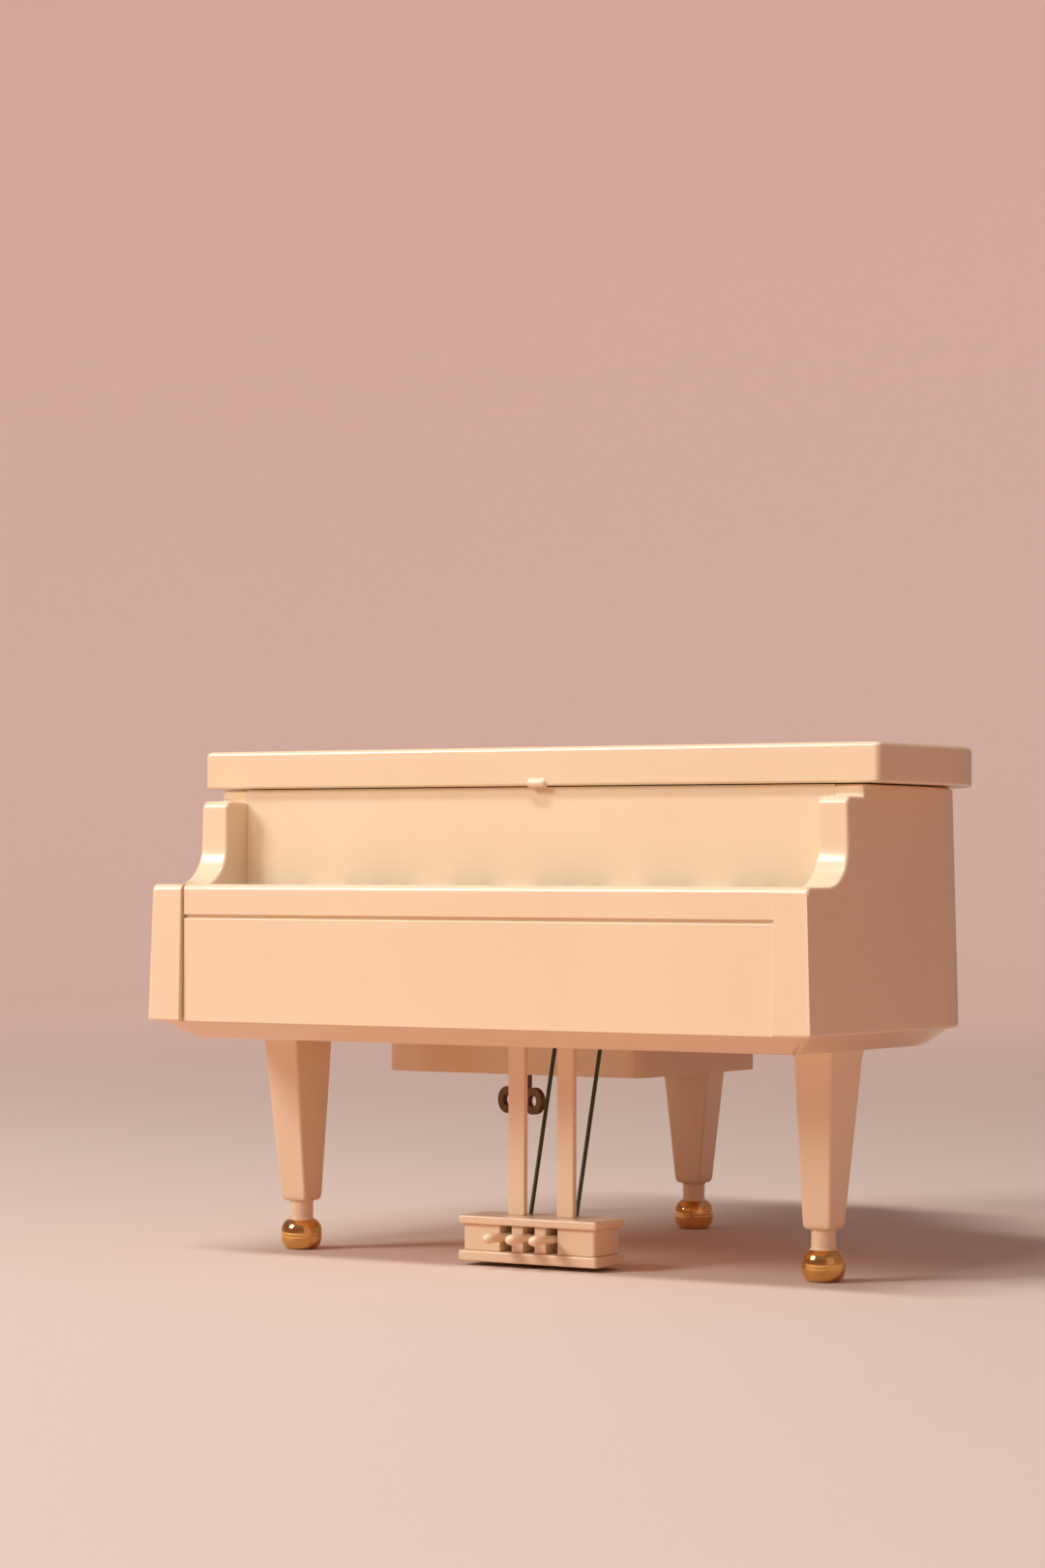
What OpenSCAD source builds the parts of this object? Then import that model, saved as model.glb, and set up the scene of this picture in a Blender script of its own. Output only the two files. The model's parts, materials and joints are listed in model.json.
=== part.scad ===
// Miniature grand piano jewellery box with a wind-up musical movement and a turning dancer.
// Millimetres, Z up. The keyboard faces -Y, the straight bass side is at -X,
// and the three ball feet stand on Z = 0.

/* [Case plan] */
// Width of the case at its foot
case_width = 142.7; // [125:0.1:160]
// Depth of the case at its foot, from the keyboard to the tail
case_depth = 129.6; // [122:0.1:150]
// How far back the treble side runs straight
straight_side = 49.3; // [45:0.1:54]
// Radius of the shoulder where the bent side begins
shoulder_r = 34; // [30:0.5:38]
// Turn of the shoulder in degrees
shoulder_turn = 75; // [70:1:80]
// Radius of the hollow in the bent side
hollow_r = 40; // [34:0.5:46]
// Turn of the hollow in degrees
hollow_turn = 35; // [30:1:40]
// Radius of the tail where the bent side meets it
tail_r = 30; // [24:0.5:34]
// Radius of the tail corner on the bass side
spine_r = 16; // [12:0.5:22]

/* [Case heights and walls] */
// Height of the tray's flat underside above the table
tray_bottom = 41.6; // [38:0.1:46]
// Thickness of the bevelled tray
tray_thick = 3.2; // [2.4:0.1:3.8]
// Set-back of the tray's top edge from the case wall
tray_lip = 1.7; // [1:0.1:2.4]
// Further set-back of the tray's underside
tray_bevel = 4.5; // [3:0.1:5.5]
// Height of the case wall, from the tray to the rim
case_height = 44.15; // [42:0.05:46]
// Inward lean of the side walls over their height
side_lean = 1.13; // [0.6:0.01:1.4]
// Inward lean of the front over the same height
front_lean = 0.92; // [0.4:0.01:1.2]
// Thickness of the case wall at its foot
wall = 3.5; // [3:0.1:4]
// Thickness of the two cheeks beside the keyboard
cheek = 7.1; // [6:0.1:7.3]
// Radius rolled along the outer edge of the rim
rim_roll = 0.7; // [0.4:0.1:1]
// Working gap between pieces that slide together
fit = 0.2; // [0.1:0.05:0.3]

/* [Cheeks and keyboard] */
// Height of the arm of each cheek above the tray
arm_height = 26.0; // [24:0.1:27]
// Length of the arm's flat top
arm_flat = 8.3; // [7:0.1:9]
// Radius of the hollow between arm and cheek
arm_hollow = 7.4; // [6:0.1:8]
// Height of the cheek's upper step below the rim
cheek_step = 2.2; // [2:0.05:3]
// Radius of the cheek's upper corner
cheek_corner = 1.5; // [1:0.1:2]
// Width of the end blocks at the front
end_block = 7.5; // [6.5:0.1:8.5]
// Length of the end blocks, front to back
end_block_length = 6; // [5:0.5:7]
// Set-back of the front panel between the end blocks
panel_set_back = 1.1; // [0.8:0.1:1.5]
// Thickness of the front panel
panel_thick = 2.5; // [2:0.1:3]
// Height of the front panel
panel_height = 19.6; // [17:0.1:20]
// Height of the shadow groove over the front panel
groove = 0.65; // [0.4:0.05:0.9]
// Thickness of the key slip, the rail over the panel
slip_thick = 3.4; // [3:0.1:4]
// Radius along the top edges of the key slip
slip_round = 1.2; // [0.6:0.1:1.4]
// Thickness of the key bed
bed_thick = 2.4; // [2:0.1:3]
// Height of the key bed's top above the tray
bed_height = 19.6; // [17:0.1:20]
// Number of white keys
white_count = 21; // [14:7:28]
// Thickness of a white key
white_thick = 4.0; // [3:0.1:4.4]
// Length of the white keys
white_length = 15.6; // [14:0.1:15.8]
// Gap between two white keys
key_gap = 0.25; // [0.15:0.05:0.4]
// Width of a black key
black_width = 3.0; // [2.4:0.1:3.4]
// Length of a black key
black_length = 9.6; // [8:0.1:10.5]
// Height of a black key above the white ones
black_height = 1.6; // [1:0.1:1.8]
// Front of the fascia behind the keys
fascia_front = 22.3; // [21.8:0.1:22.6]
// Thickness of the fascia
fascia_thick = 2.3; // [2:0.1:2.8]

/* [Lid] */
// Overhang of the lid beyond the foot of the case
lid_reach = 2.4; // [1.8:0.05:2.6]
// Thickness of the lid at its edge
lid_thick = 7.25; // [6.8:0.05:8]
// Front edge of the lid
lid_front = 21.1; // [20.6:0.1:21.6]
// Radius of the lid's front corners in plan
lid_corner = 1.2; // [0.8:0.1:3]
// Radius rolled along the lid's edges
lid_roll = 0.9; // [0.5:0.1:1.2]
// Depth of the recess under the lid
lid_recess = 4.4; // [3:0.05:4.5]
// Width of the lid's own border around the recess
lid_border = 7.1; // [6:0.1:8]
// Gap between the closed lid and the rim
lid_gap = 0.2; // [0.1:0.05:0.3]
// Thickness of the mirror under the lid
mirror_thick = 0.8; // [0.6:0.1:1.2]
// Length of the finger nub on the lid's front edge
nub_length = 4.4; // [3:0.1:6]
// Radius of the finger nub
nub_r = 0.95; // [0.7:0.05:1.2]
// Place of the finger nub across the lid
nub_x = 2.7; // [0:0.1:5]

/* [Hinges] */
// Height of the hinge axis above the rim
hinge_rise = 0.2; // [0.2:0.05:0.3]
// Distance of the hinge axis outside the rim's top edge
hinge_out = 1.53; // [1.5:0.01:1.6]
// Radius of the hinge knuckles
knuckle_r = 1.3; // [1.2:0.05:1.4]
// Radius of the hinge pins
pin_r = 0.55; // [0.4:0.05:0.6]
// Length of each hinge
hinge_length = 12; // [9:0.5:15]
// Thickness of the hinge leaves
leaf_thick = 0.5; // [0.4:0.05:0.6]
// Place of the front hinge, from the keyboard end
hinge_a = 42; // [38:1:50]
// Distance of the rear hinge in from the tail
hinge_tail = 30.2; // [27:0.1:40]
// Drop of the case leaves below the rim
leaf_drop = 6.6; // [5:0.1:8]

/* [Legs and feet] */
// Distance of the front legs in from the sides of the case
leg_inset = 14.0; // [12.6:0.1:18]
// Distance of the front legs from the keyboard end
leg_y = 31.2; // [26:0.1:36]
// Place of the rear leg across the case
rear_leg_x = -16.7; // [-24:0.1:-10]
// Gap between the housing and the rear leg
rear_leg_gap = 4.3; // [3:0.1:5]
// Width of a leg at its top, the narrow way
leg_top_narrow = 7.8; // [7:0.1:9]
// Width of a leg at its top, the wide way
leg_top_wide = 12.6; // [11:0.1:14]
// Width of a leg at its foot
leg_foot = 5.7; // [5:0.1:6.5]
// Radius of a leg's corners
leg_round = 0.5; // [0.4:0.1:0.8]
// Outward shift of a front leg's top
leg_shift = 1.0; // [0.6:0.1:1.2]
// Diameter of the round neck over each ball
neck_d = 4.5; // [4:0.1:5]
// Length of the neck
neck_length = 3.7; // [3:0.1:4.5]
// Diameter of the ball feet
ball_d = 8.0; // [7:0.1:8.6]
// Height of the ball feet between their flats
ball_height = 5.7; // [5.2:0.1:6.2]

/* [Pedal lyre] */
// Place of the lyre across the case
lyre_x = 0.75; // [-2:0.05:2]
// Half width of the lyre's foot
lyre_half = 15.15; // [13:0.05:17]
// Front of the lyre's foot from the keyboard end
lyre_front = 20.9; // [19:0.1:23]
// Depth of the lyre's foot
lyre_depth = 10.4; // [9:0.1:11]
// Clearance of the lyre under its foot
lyre_clear = 0.8; // [0.5:0.1:1.2]
// Thickness of the lyre's foot plate
lyre_plate = 2.0; // [1.6:0.1:2.4]
// Height of the pedal box between its plates
lyre_box_height = 4.9; // [4.4:0.1:5.6]
// Thickness of the lyre's cap plate
lyre_cap_thick = 1.6; // [1.2:0.1:2]
// Spacing of the three pedals
pedal_pitch = 5.0; // [4.6:0.1:5.4]
// Width of each pedal slot
slot_width = 2.5; // [2.2:0.1:2.8]
// How far the pedals reach out in front
pedal_reach = 6.7; // [5:0.1:8]
// Spacing of the two posts
post_pitch = 10.7; // [9:0.1:12]
// Width of each post
post_width = 3.6; // [3:0.1:4.2]
// Thickness of each post
post_thick = 1.3; // [1.1:0.1:1.8]
// Diameter of the two stay rods
rod_d = 0.8; // [0.6:0.1:1.2]
// Backward slant of the rods over their height
rod_slant = 8.8; // [6:0.1:11]

/* [Movement housing and key] */
// Distance of the housing in from the bass side of the case
housing_inset = 15.35; // [14.35:0.05:15.65]
// Width of the housing
housing_width = 59; // [59:0.5:62]
// Front of the housing from the keyboard end
housing_y = 58; // [57:0.5:58]
// Depth of the housing, front to back
housing_depth = 47; // [47:0.5:48]
// Drop of the housing below the tray
housing_drop = 8.0; // [8:0.1:9.5]
// Wall and floor thickness of the housing
housing_wall = 1.4; // [1.2:0.1:1.6]
// Corner radius of the housing
housing_round = 3; // [2:0.1:4]
// Distance of the winding arbor in from the housing's bass end
key_inset = 22.7; // [22.2:0.1:23]
// Distance of the winding arbor behind the housing's front
key_set_back = 15; // [14.6:0.1:15.4]
// Width of the key's wings
key_width = 13; // [11:0.1:15]
// Height of the key below the housing
key_drop = 8.7; // [8:0.1:10]
// Turn of the key's wings at rest in degrees
key_turn = -16; // [-45:1:45]

/* [Movement] */
// Height of the bosses under the bedplate
boss = 0.8; // [0.6:0.1:1]
// Thickness of the bedplate
plate = 1.2; // [1:0.1:1.4]
// Height of the cylinder's axis above the bedplate
axis_rise = 10; // [9.8:0.1:10.2]
// Radius of the pinned cylinder
drum_r = 6.1; // [5.8:0.05:6.2]
// Number of comb teeth
notes = 18; // [12:1:22]
// Radius of the mainspring barrel
barrel_r = 9.2; // [8.6:0.1:9.4]
// Tooth module of the barrel's great wheel
great_module = 0.45; // [0.44:0.005:0.46]
// Teeth of the barrel's great wheel and of its crown
great_teeth = 48; // [48:1:48]
// Teeth of the dancer's pinion
dancer_teeth = 16; // [16:1:16]
// Tooth module of the cylinder wheel
wheel_module = 0.35; // [0.34:0.005:0.36]
// Teeth of the cylinder wheel
wheel_teeth = 40; // [40:1:40]
// Teeth of the pinion that it drives
idle_teeth = 10; // [10:1:10]
// Mean radius of the crown teeth on the barrel
crown_r = 7.0; // [6.9:0.05:7.1]
// Radius of the governor's air brake
fan_r = 3.0; // [2.6:0.1:3.1]
// Height of the governor's cock above the cylinder's axis
cock_rise = 8; // [7.8:0.1:8.2]
// Reach of the cock over the worm
cock_reach = 4.4; // [4.2:0.1:4.6]
// Width of the cock
cock_width = 3; // [2.4:0.1:3.4]
// Thickness of the brackets and the cock
strip_thick = 0.8; // [0.6:0.05:0.9]

/* [Inside the case] */
// Height of the deck over the movement, above the tray
deck_top = 12.4; // [12.4:0.1:12.9]
// Thickness of that deck
deck_thick = 1.9; // [1.7:0.1:2]
// Thickness of the jewellery tray's walls and floor
liner = 1.6; // [1.4:0.1:2]
// Height of the jewellery tray's outer wall above the case floor
liner_height = 33; // [28:0.5:36]
// Height of the partitions above the case floor
partition_height = 24; // [20:0.5:27]
// Front of the dancer's stage from the keyboard end
stage_front = 53.6; // [52:0.1:54]
// Treble end of the dancer's stage
stage_side = 4.4; // [4.4:0.1:6]
// Length of the ring cushion
cushion_length = 62; // [50:0.5:64]
// Height of the ring cushion
cushion_height = 11; // [8:0.5:13]
// Radius of the dancer's turntable
turntable_r = 9; // [7:0.1:10]
// Thickness of the turntable
turntable_thick = 0.8; // [0.6:0.1:1]
// Height of the dancer's spring
spring_height = 3.6; // [3:0.1:4]
// Height of the dancer from toe to fingertips
dancer_height = 26.6; // [24:0.1:27]
// Radius of the dancer's skirt
skirt_r = 8.6; // [7:0.1:10]

/* [Hidden] */
$fn = 48;
seam = 0.02;
half = case_width / 2;
mid_y = (case_depth + lid_reach) / 2;
case_bottom = tray_bottom + tray_thick;
rim_top = case_bottom + case_height;
lid_bottom = rim_top + lid_gap;
lid_top = lid_bottom + lid_thick;
fascia_back = fascia_front + fascia_thick;
arm_top = case_bottom + arm_height;
cheek_top = rim_top - cheek_step;
tail_turn = shoulder_turn - hollow_turn;
// Centres of the arcs of the bent side, the tail and the bass corner
c_shoulder = [half - shoulder_r, straight_side];
p_shoulder = c_shoulder + shoulder_r * [cos(shoulder_turn), sin(shoulder_turn)];
c_hollow = p_shoulder + hollow_r * [cos(shoulder_turn), sin(shoulder_turn)];
p_hollow = c_hollow - hollow_r * [cos(tail_turn), sin(tail_turn)];
run = (case_depth - tail_r * (1 - sin(tail_turn)) - p_hollow.y) / cos(tail_turn);
c_tail = [p_hollow.x - run * sin(tail_turn) - tail_r * cos(tail_turn), case_depth - tail_r];
c_spine = [spine_r - half, case_depth - spine_r];
// Hinge axis
hinge_x = side_lean - half - hinge_out;
hinge_z = rim_top + hinge_rise;
hinge_b = case_depth - hinge_tail;
// From the hinge axis to the edge of the recess under the lid
leaf_reach = lid_border - lid_reach - side_lean + hinge_out;
// Places of the legs
leg_x = half - leg_inset;
rear_leg_y = housing_y + housing_depth + rear_leg_gap + leg_top_narrow / 2;
// Levels and places of the movement
housing_x = housing_inset - half;
key_x = housing_x + key_inset;
key_y = housing_y + key_set_back;
housing_bottom = tray_bottom - housing_drop;
bay_x = housing_x + housing_wall;
bay_y = housing_y + housing_wall;
bay_width = housing_width - 2 * housing_wall;
bay_depth = housing_depth - 2 * housing_wall;
floor_top = housing_bottom + housing_wall;
bed_bottom = floor_top + boss;
bed_top = bed_bottom + plate;
axis_z = bed_top + axis_rise;
crown_module = 2 * crown_r / great_teeth;
crown_pinion = 12;
idle_x = key_x - (wheel_teeth + idle_teeth) * wheel_module / 2;
worm_module = 0.5;
worm_wheel_teeth = 16;
worm_r = 1.5;
worm_x = idle_x - worm_wheel_teeth * worm_module / 2 - worm_r - 0.25;
// Along the cylinder's axis: crown pinion, front bracket, cylinder, wheels, rear bracket
front_bracket_y = key_y + crown_r + 2.5;
bracket_y = bay_y + bay_depth - 1.5;
worm_wheel_y = bracket_y - 2.2;
worm_y = worm_wheel_y + 0.5;
wheel_y = worm_wheel_y - 1.4;
drum_y = front_bracket_y + 1.1;
drum_length = wheel_y - 0.3 - drum_y;
dancer_x = key_x + (great_teeth + dancer_teeth) * great_module / 2;
dancer_y = key_y;
deck_z = case_bottom + deck_top;
stage_z = deck_z + 0.4;
spring_z = stage_z + turntable_thick;
toe_z = spring_z + spring_height;
// Colours
ivory = [0.98, 0.88, 0.74];
white = [0.97, 0.95, 0.90];
black = [0.06, 0.06, 0.06];
gold = [0.83, 0.62, 0.24];
steel = [0.66, 0.67, 0.69];
dark_steel = [0.20, 0.20, 0.21];
velvet = [0.48, 0.06, 0.12];
glass = [0.80, 0.86, 0.90];
rose = [0.95, 0.66, 0.72];
skin = [0.93, 0.76, 0.65];
dark_green = [0.06, 0.10, 0.08];

// Everything is drawn from the keyboard end and moved so that the box stands on the origin.
module place(c) { color(c) translate([0, -mid_y, 0]) children(); }

function arc(c, r, a, b, n) =
    [for (i = [0:n]) let (t = a + (b - a) * i / n) [c.x + r * cos(t), c.y + r * sin(t)]];

// Plan of the piano, set in by d from the foot of the case, with its own front line.
function plan(d, front, rc) = concat(
    arc([d + rc - half, front + rc], rc, 180, 270, 4),
    arc([half - d - rc, front + rc], rc, 270, 360, 4),
    arc(c_shoulder, shoulder_r - d, 0, shoulder_turn, 16),
    arc(c_hollow, hollow_r + d, 180 + shoulder_turn, 180 + tail_turn, 10),
    arc(c_tail, tail_r - d, tail_turn, 90, 10),
    arc(c_spine, spine_r - d, 90, 180, 8));

function lift(points, z) = [for (p = points) [p.x, p.y, z]];

// Solid through closed rings of equal length, bottom ring first.
module loft(rings) {
    n = len(rings[0]);
    m = len(rings);
    polyhedron(points = [for (r = rings) each r],
        faces = concat([[for (i = [0:n - 1]) i], [for (i = [0:n - 1]) n * m - 1 - i]],
            [for (k = [0:m - 2], i = [0:n - 1]) let (j = (i + 1) % n, a = k * n, b = a + n)
                [a + i, b + i, b + j, a + j]]));
}

module box(x, y, z, sx, sy, sz) { translate([x, y, z]) cube([sx, sy, sz]); }

module post(x, y, z, r, h) { translate([x, y, z]) cylinder(r = r, h = h); }

// A cylinder that runs back along Y.
module axle(x, y, z, r, h) { translate([x, y, z]) rotate([-90, 0, 0]) cylinder(r = r, h = h); }

// A profile drawn in Y and Z, carried across from x0 to x1.
module across(x0, x1) {
    translate([x0, 0, 0]) rotate([90, 0, 90]) linear_extrude(height = x1 - x0) children();
}

// A ring with trapezoidal teeth of the given count and module.
module teeth(n, m) {
    p = 360 / n;
    a = n * m / 2 - 1.2 * m;
    b = n * m / 2 + 0.9 * m;
    polygon([for (i = [0:n - 1], s = [[-0.31, a], [-0.12, b], [0.12, b], [0.31, a]])
        s[1] * [cos((i + s[0]) * p), sin((i + s[0]) * p)]]);
}

// ---- case ----

module cheek_line() {
    f = front_lean * arm_height / case_height;
    polygon(concat([[-2, rim_top + 2], [-2, arm_top - slip_round]],
        arc([f + slip_round, arm_top - slip_round], slip_round, 180, 90, 6),
        arc([arm_flat, arm_top + arm_hollow], arm_hollow, 270, 360, 10),
        arc([arm_flat + arm_hollow + cheek_corner, cheek_top - cheek_corner],
            cheek_corner, 180, 90, 6),
        [[fascia_front, cheek_top], [fascia_front, rim_top + 2]]));
}

module case_rim() place(ivory) difference() {
    lean = (case_height - rim_roll) / case_height;
    loft(concat([lift(plan(0, 0, 0.8), case_bottom)],
        [for (t = [0:30:90]) let (e = rim_roll * (1 - cos(t)))
            lift(plan(side_lean * lean + e, front_lean * lean + e, 0.8),
                rim_top - rim_roll * (1 - sin(t)))]));
    translate([0, 0, case_bottom - 1]) linear_extrude(height = case_height + 2)
        polygon(plan(wall, fascia_back, 0.5));
    box(cheek - half, end_block_length, case_bottom - 1,
        case_width - 2 * cheek, fascia_back + 2 - end_block_length, case_height + 2);
    box(end_block - half, -1, case_bottom - 1,
        case_width - 2 * end_block, end_block_length + 2, case_height + 2);
    across(-half - 1, half + 1) cheek_line();
}

module base_tray() place(ivory) difference() {
    loft([lift(plan(tray_lip + tray_bevel, tray_lip + tray_bevel, 2), tray_bottom),
        lift(plan(tray_lip, tray_lip, 2), case_bottom)]);
    box(bay_x, bay_y, tray_bottom - 1, bay_width, bay_depth, tray_thick + 2);
}

module front_panel() place(ivory)
    box(end_block + fit - half, panel_set_back, case_bottom,
        case_width - 2 * (end_block + fit), panel_thick, panel_height);

module key_slip() place(ivory) {
    z = case_bottom + panel_height;
    h = arm_height - panel_height;
    y = panel_set_back;
    across(end_block + fit - half, half - end_block - fit)
        polygon(concat([[y + groove, z], [y + slip_thick, z]],
            arc([y + slip_thick - slip_round, z + h - slip_round], slip_round, 0, 90, 6),
            arc([y + slip_round, z + h - slip_round], slip_round, 90, 180, 6),
            [[y, z + groove], [y + groove, z + groove]]));
}

key_span = case_width - 2 * (end_block + 0.2);
key_step = key_span / white_count;
key_top = case_bottom + bed_height + white_thick;
key_back = fascia_front - 0.3;

module key_bed() place(ivory)
    box(cheek + fit - half, end_block_length + fit, case_bottom + bed_height - bed_thick,
        case_width - 2 * (cheek + fit), key_back - end_block_length - fit, bed_thick);

module white_keys() place(white) difference() {
    box(-key_span / 2, key_back - white_length + 0.6, case_bottom + bed_height,
        key_span, white_length - 0.6, white_thick);
    for (i = [1:white_count - 1])
        box(i * key_step - key_span / 2 - key_gap / 2, 0, key_top - 2.6, key_gap, 30, 4);
}

module black_keys() place(black)
    for (i = [1:white_count - 1]) if (i % 7 != 3 && i % 7 != 0)
        translate([i * key_step - key_span / 2, key_back - black_length, key_top])
            rotate([90, 0, 90]) translate([0, 0, -black_width / 2])
                linear_extrude(height = black_width)
                    polygon([[0, 0], [black_length, 0], [black_length, black_height],
                        [0.9, black_height], [0.25, black_height * 0.7]]);

module fascia() place(ivory)
    box(cheek + seam - half, fascia_front, case_bottom + bed_height - bed_thick,
        case_width - 2 * (cheek + seam), fascia_thick,
        rim_top - case_bottom - bed_height + bed_thick);

// ---- jewellery tray ----

module jewellery_tray() place(velvet) {
    z = case_bottom + fit;
    floor_z = z + liner;
    part_z = case_bottom + partition_height;
    difference() {
        translate([0, 0, z]) linear_extrude(height = liner_height)
            polygon(plan(wall + fit, fascia_back + fit, 1));
        // everything over the partitions
        translate([0, 0, part_z]) linear_extrude(height = 60)
            polygon(plan(wall + fit + liner, fascia_back + fit + liner, 1));
        // jewellery well along the bent side
        intersection() {
            translate([0, 0, floor_z]) linear_extrude(height = 60)
                polygon(plan(wall + fit + liner, fascia_back + fit + liner, 1));
            box(stage_side + liner, 0, 0, half, 2 * case_depth, 200);
        }
        // ring well in front of the stage
        intersection() {
            translate([0, 0, floor_z]) linear_extrude(height = 60)
                polygon(plan(wall + fit + liner, fascia_back + fit + liner, 1));
            box(-half, 0, 0, half + stage_side, stage_front - liner, 200);
        }
        // stage
        intersection() {
            translate([0, 0, deck_z]) linear_extrude(height = 60)
                polygon(plan(wall + fit + liner, fascia_back + fit + liner, 1));
            box(-half, stage_front, 0, half + stage_side, 2 * case_depth, 200);
        }
        // room for the movement under the deck
        box(bay_x - 0.4, bay_y - 0.4, z - 1, bay_width + 0.8, bay_depth + 0.8,
            deck_z - deck_thick - z + 1);
        post(dancer_x, dancer_y, z, 1.3, 60);
    }
}

module ring_cushion() place(rose) {
    w = stage_front - fascia_back - 2 * fit - 3 * liner;
    x = stage_side - 0.3 - cushion_length;
    y = fascia_back + fit + liner + 0.3;
    z = case_bottom + fit + liner;
    difference() {
        box(x, y, z, cushion_length, w + liner - 0.8, cushion_height);
        for (i = [1:3]) box(x - 1, y + i * w / 4, z + cushion_height - 4, cushion_length + 2, 0.8, 5);
    }
}

// ---- lid ----

module lid() place(ivory) {
    d = -lid_reach;
    r = lid_roll;
    f = lid_front;
    // finger nub on the front edge
    intersection() {
        translate([nub_x, f + 0.25, lid_bottom + 0.5]) union() {
            for (s = [-1, 1]) translate([s * (nub_length / 2 - nub_r), 0, 0])
                sphere(r = nub_r, $fn = 24);
            translate([nub_r - nub_length / 2, 0, 0]) rotate([0, 90, 0])
                cylinder(r = nub_r, h = nub_length - 2 * nub_r, $fn = 24);
        }
        box(nub_x - nub_length, f - 2, lid_bottom - 0.3, 2 * nub_length, 2.4, 4);
    }
    difference() {
        loft(concat(
            [for (t = [90:-22.5:0]) let (e = r * (1 - cos(t)) * 0.6)
                lift(plan(d + e, f + e, lid_corner), lid_bottom + r * 0.6 * (1 - sin(t)))],
            [for (t = [0:18:90]) let (e = r * (1 - cos(t)))
                lift(plan(d + e, f + e, lid_corner), lid_top - r * (1 - sin(t)))]));
        translate([0, 0, lid_bottom - 1]) linear_extrude(height = lid_recess + 1)
            polygon(plan(lid_border - lid_reach, lid_front + lid_border, 1.5));
        for (y = [hinge_a, hinge_b]) {
            axle(hinge_x, y - hinge_length / 2 - fit, hinge_z, knuckle_r + 0.15,
                hinge_length + 2 * fit);
            box(hinge_x, y - hinge_length / 2 - fit, lid_bottom - 1,
                leaf_reach, hinge_length + 2 * fit, leaf_thick + 1.1);
        }
    }
}

module lid_mirror() place(glass)
    translate([0, 0, lid_bottom + lid_recess - mirror_thick]) linear_extrude(height = mirror_thick)
        polygon(plan(lid_border - lid_reach + 1.2, lid_front + lid_border + 1.2, 2));

leaf_y = [0, hinge_length / 3, 2 * hinge_length / 3];

module hinge_case_leaves() place(gold)
    for (y = [hinge_a - hinge_length / 2, hinge_b - hinge_length / 2]) difference() {
        union() {
            box(hinge_x + knuckle_r - leaf_thick, y, rim_top - leaf_drop, leaf_thick,
                hinge_length, leaf_drop - 1.4);
            for (k = [0, 2]) {
                axle(hinge_x, y + leaf_y[k], hinge_z, knuckle_r, hinge_length / 3 - 0.1);
                box(hinge_x + knuckle_r - leaf_thick, y + leaf_y[k], rim_top - 2,
                    leaf_thick, hinge_length / 3 - 0.1, 2 + hinge_rise);
            }
        }
        axle(hinge_x, y - 1, hinge_z, pin_r, hinge_length + 2);
    }

module hinge_lid_leaves() place(gold)
    for (y = [hinge_a - hinge_length / 2, hinge_b - hinge_length / 2]) difference() {
        union() {
            axle(hinge_x, y + leaf_y[1], hinge_z, knuckle_r, hinge_length / 3 - 0.1);
            box(hinge_x + 0.1, y + leaf_y[1], lid_bottom + 0.05, 2, hinge_length / 3 - 0.1, leaf_thick);
            box(hinge_x + 1.5, y, lid_bottom + 0.05, leaf_reach - 1.7, hinge_length, leaf_thick);
        }
        axle(hinge_x, y - 1, hinge_z, pin_r + 0.05, hinge_length + 2);
    }

module hinge_pins() place(steel)
    for (y = [hinge_a, hinge_b])
        axle(hinge_x, y - hinge_length / 2, hinge_z, pin_r, hinge_length);

// ---- legs ----

function slab(cx, cy, sx, sy, r) = concat(
    arc([cx + sx / 2 - r, cy + sy / 2 - r], r, 0, 90, 3),
    arc([cx - sx / 2 + r, cy + sy / 2 - r], r, 90, 180, 3),
    arc([cx - sx / 2 + r, cy - sy / 2 + r], r, 180, 270, 3),
    arc([cx + sx / 2 - r, cy - sy / 2 + r], r, 270, 360, 3));

// One leg on the origin; its narrow way is along X and its top leans towards +X by s.
module leg(s) {
    z0 = ball_height + neck_length;
    h = tray_bottom - z0;
    g = leg_foot;
    a = leg_top_narrow - g;
    b = leg_top_wide - g;
    loft([for (k = [[0, -0.7, 0], [0.012, -0.2, 0.012], [0.03, 0, 0.03], [0.93, -0.25, 0.93],
            [0.965, -0.1, 0.965], [1, 0.35, 1]])
        let (t = k[2]) lift(slab(s * t, 0, g + a * t + k[1], g + b * t + k[1], leg_round), z0 + h * k[0])]);
    post(0, 0, ball_height, neck_d / 2, neck_length + 0.5);
}

module foot() {
    b = ball_height / 2;
    rotate_extrude($fn = 64) polygon(concat([[0, 0]],
        [for (i = [0:14]) let (z = b * (2 * i / 14 - 1))
            [ball_d / 2 * pow(1 - pow(abs(z) / (b * 1.245), 2.4), 1 / 2.4), z + b]],
        [[0, ball_height]]));
}

module leg_front_left() place(ivory) translate([-leg_x, leg_y, 0]) leg(-leg_shift);
module leg_front_right() place(ivory) translate([leg_x, leg_y, 0]) leg(leg_shift);
module leg_rear() place(ivory) translate([rear_leg_x, rear_leg_y, 0]) rotate(90) leg(0);
module foot_front_left() place(gold) translate([-leg_x, leg_y, 0]) foot();
module foot_front_right() place(gold) translate([leg_x, leg_y, 0]) foot();
module foot_rear() place(gold) translate([rear_leg_x, rear_leg_y, 0]) foot();

// ---- pedal lyre ----

lyre_mid = lyre_front + lyre_depth / 2;
box_z = lyre_clear + lyre_plate;
cap_z = box_z + lyre_box_height;
post_z = cap_z + lyre_cap_thick;
pedal_z = box_z + lyre_box_height * 0.57;

module lyre_place(c) { place(c) translate([lyre_x, 0, 0]) children(); }

module lyre_slab(z, h, set_in) {
    translate([0, 0, z]) linear_extrude(height = h)
        polygon(slab(0, lyre_mid, 2 * (lyre_half - set_in), lyre_depth - 2 * set_in, 0.6));
}

module lyre_foot() lyre_place(ivory) lyre_slab(lyre_clear, lyre_plate, 0);

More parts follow.
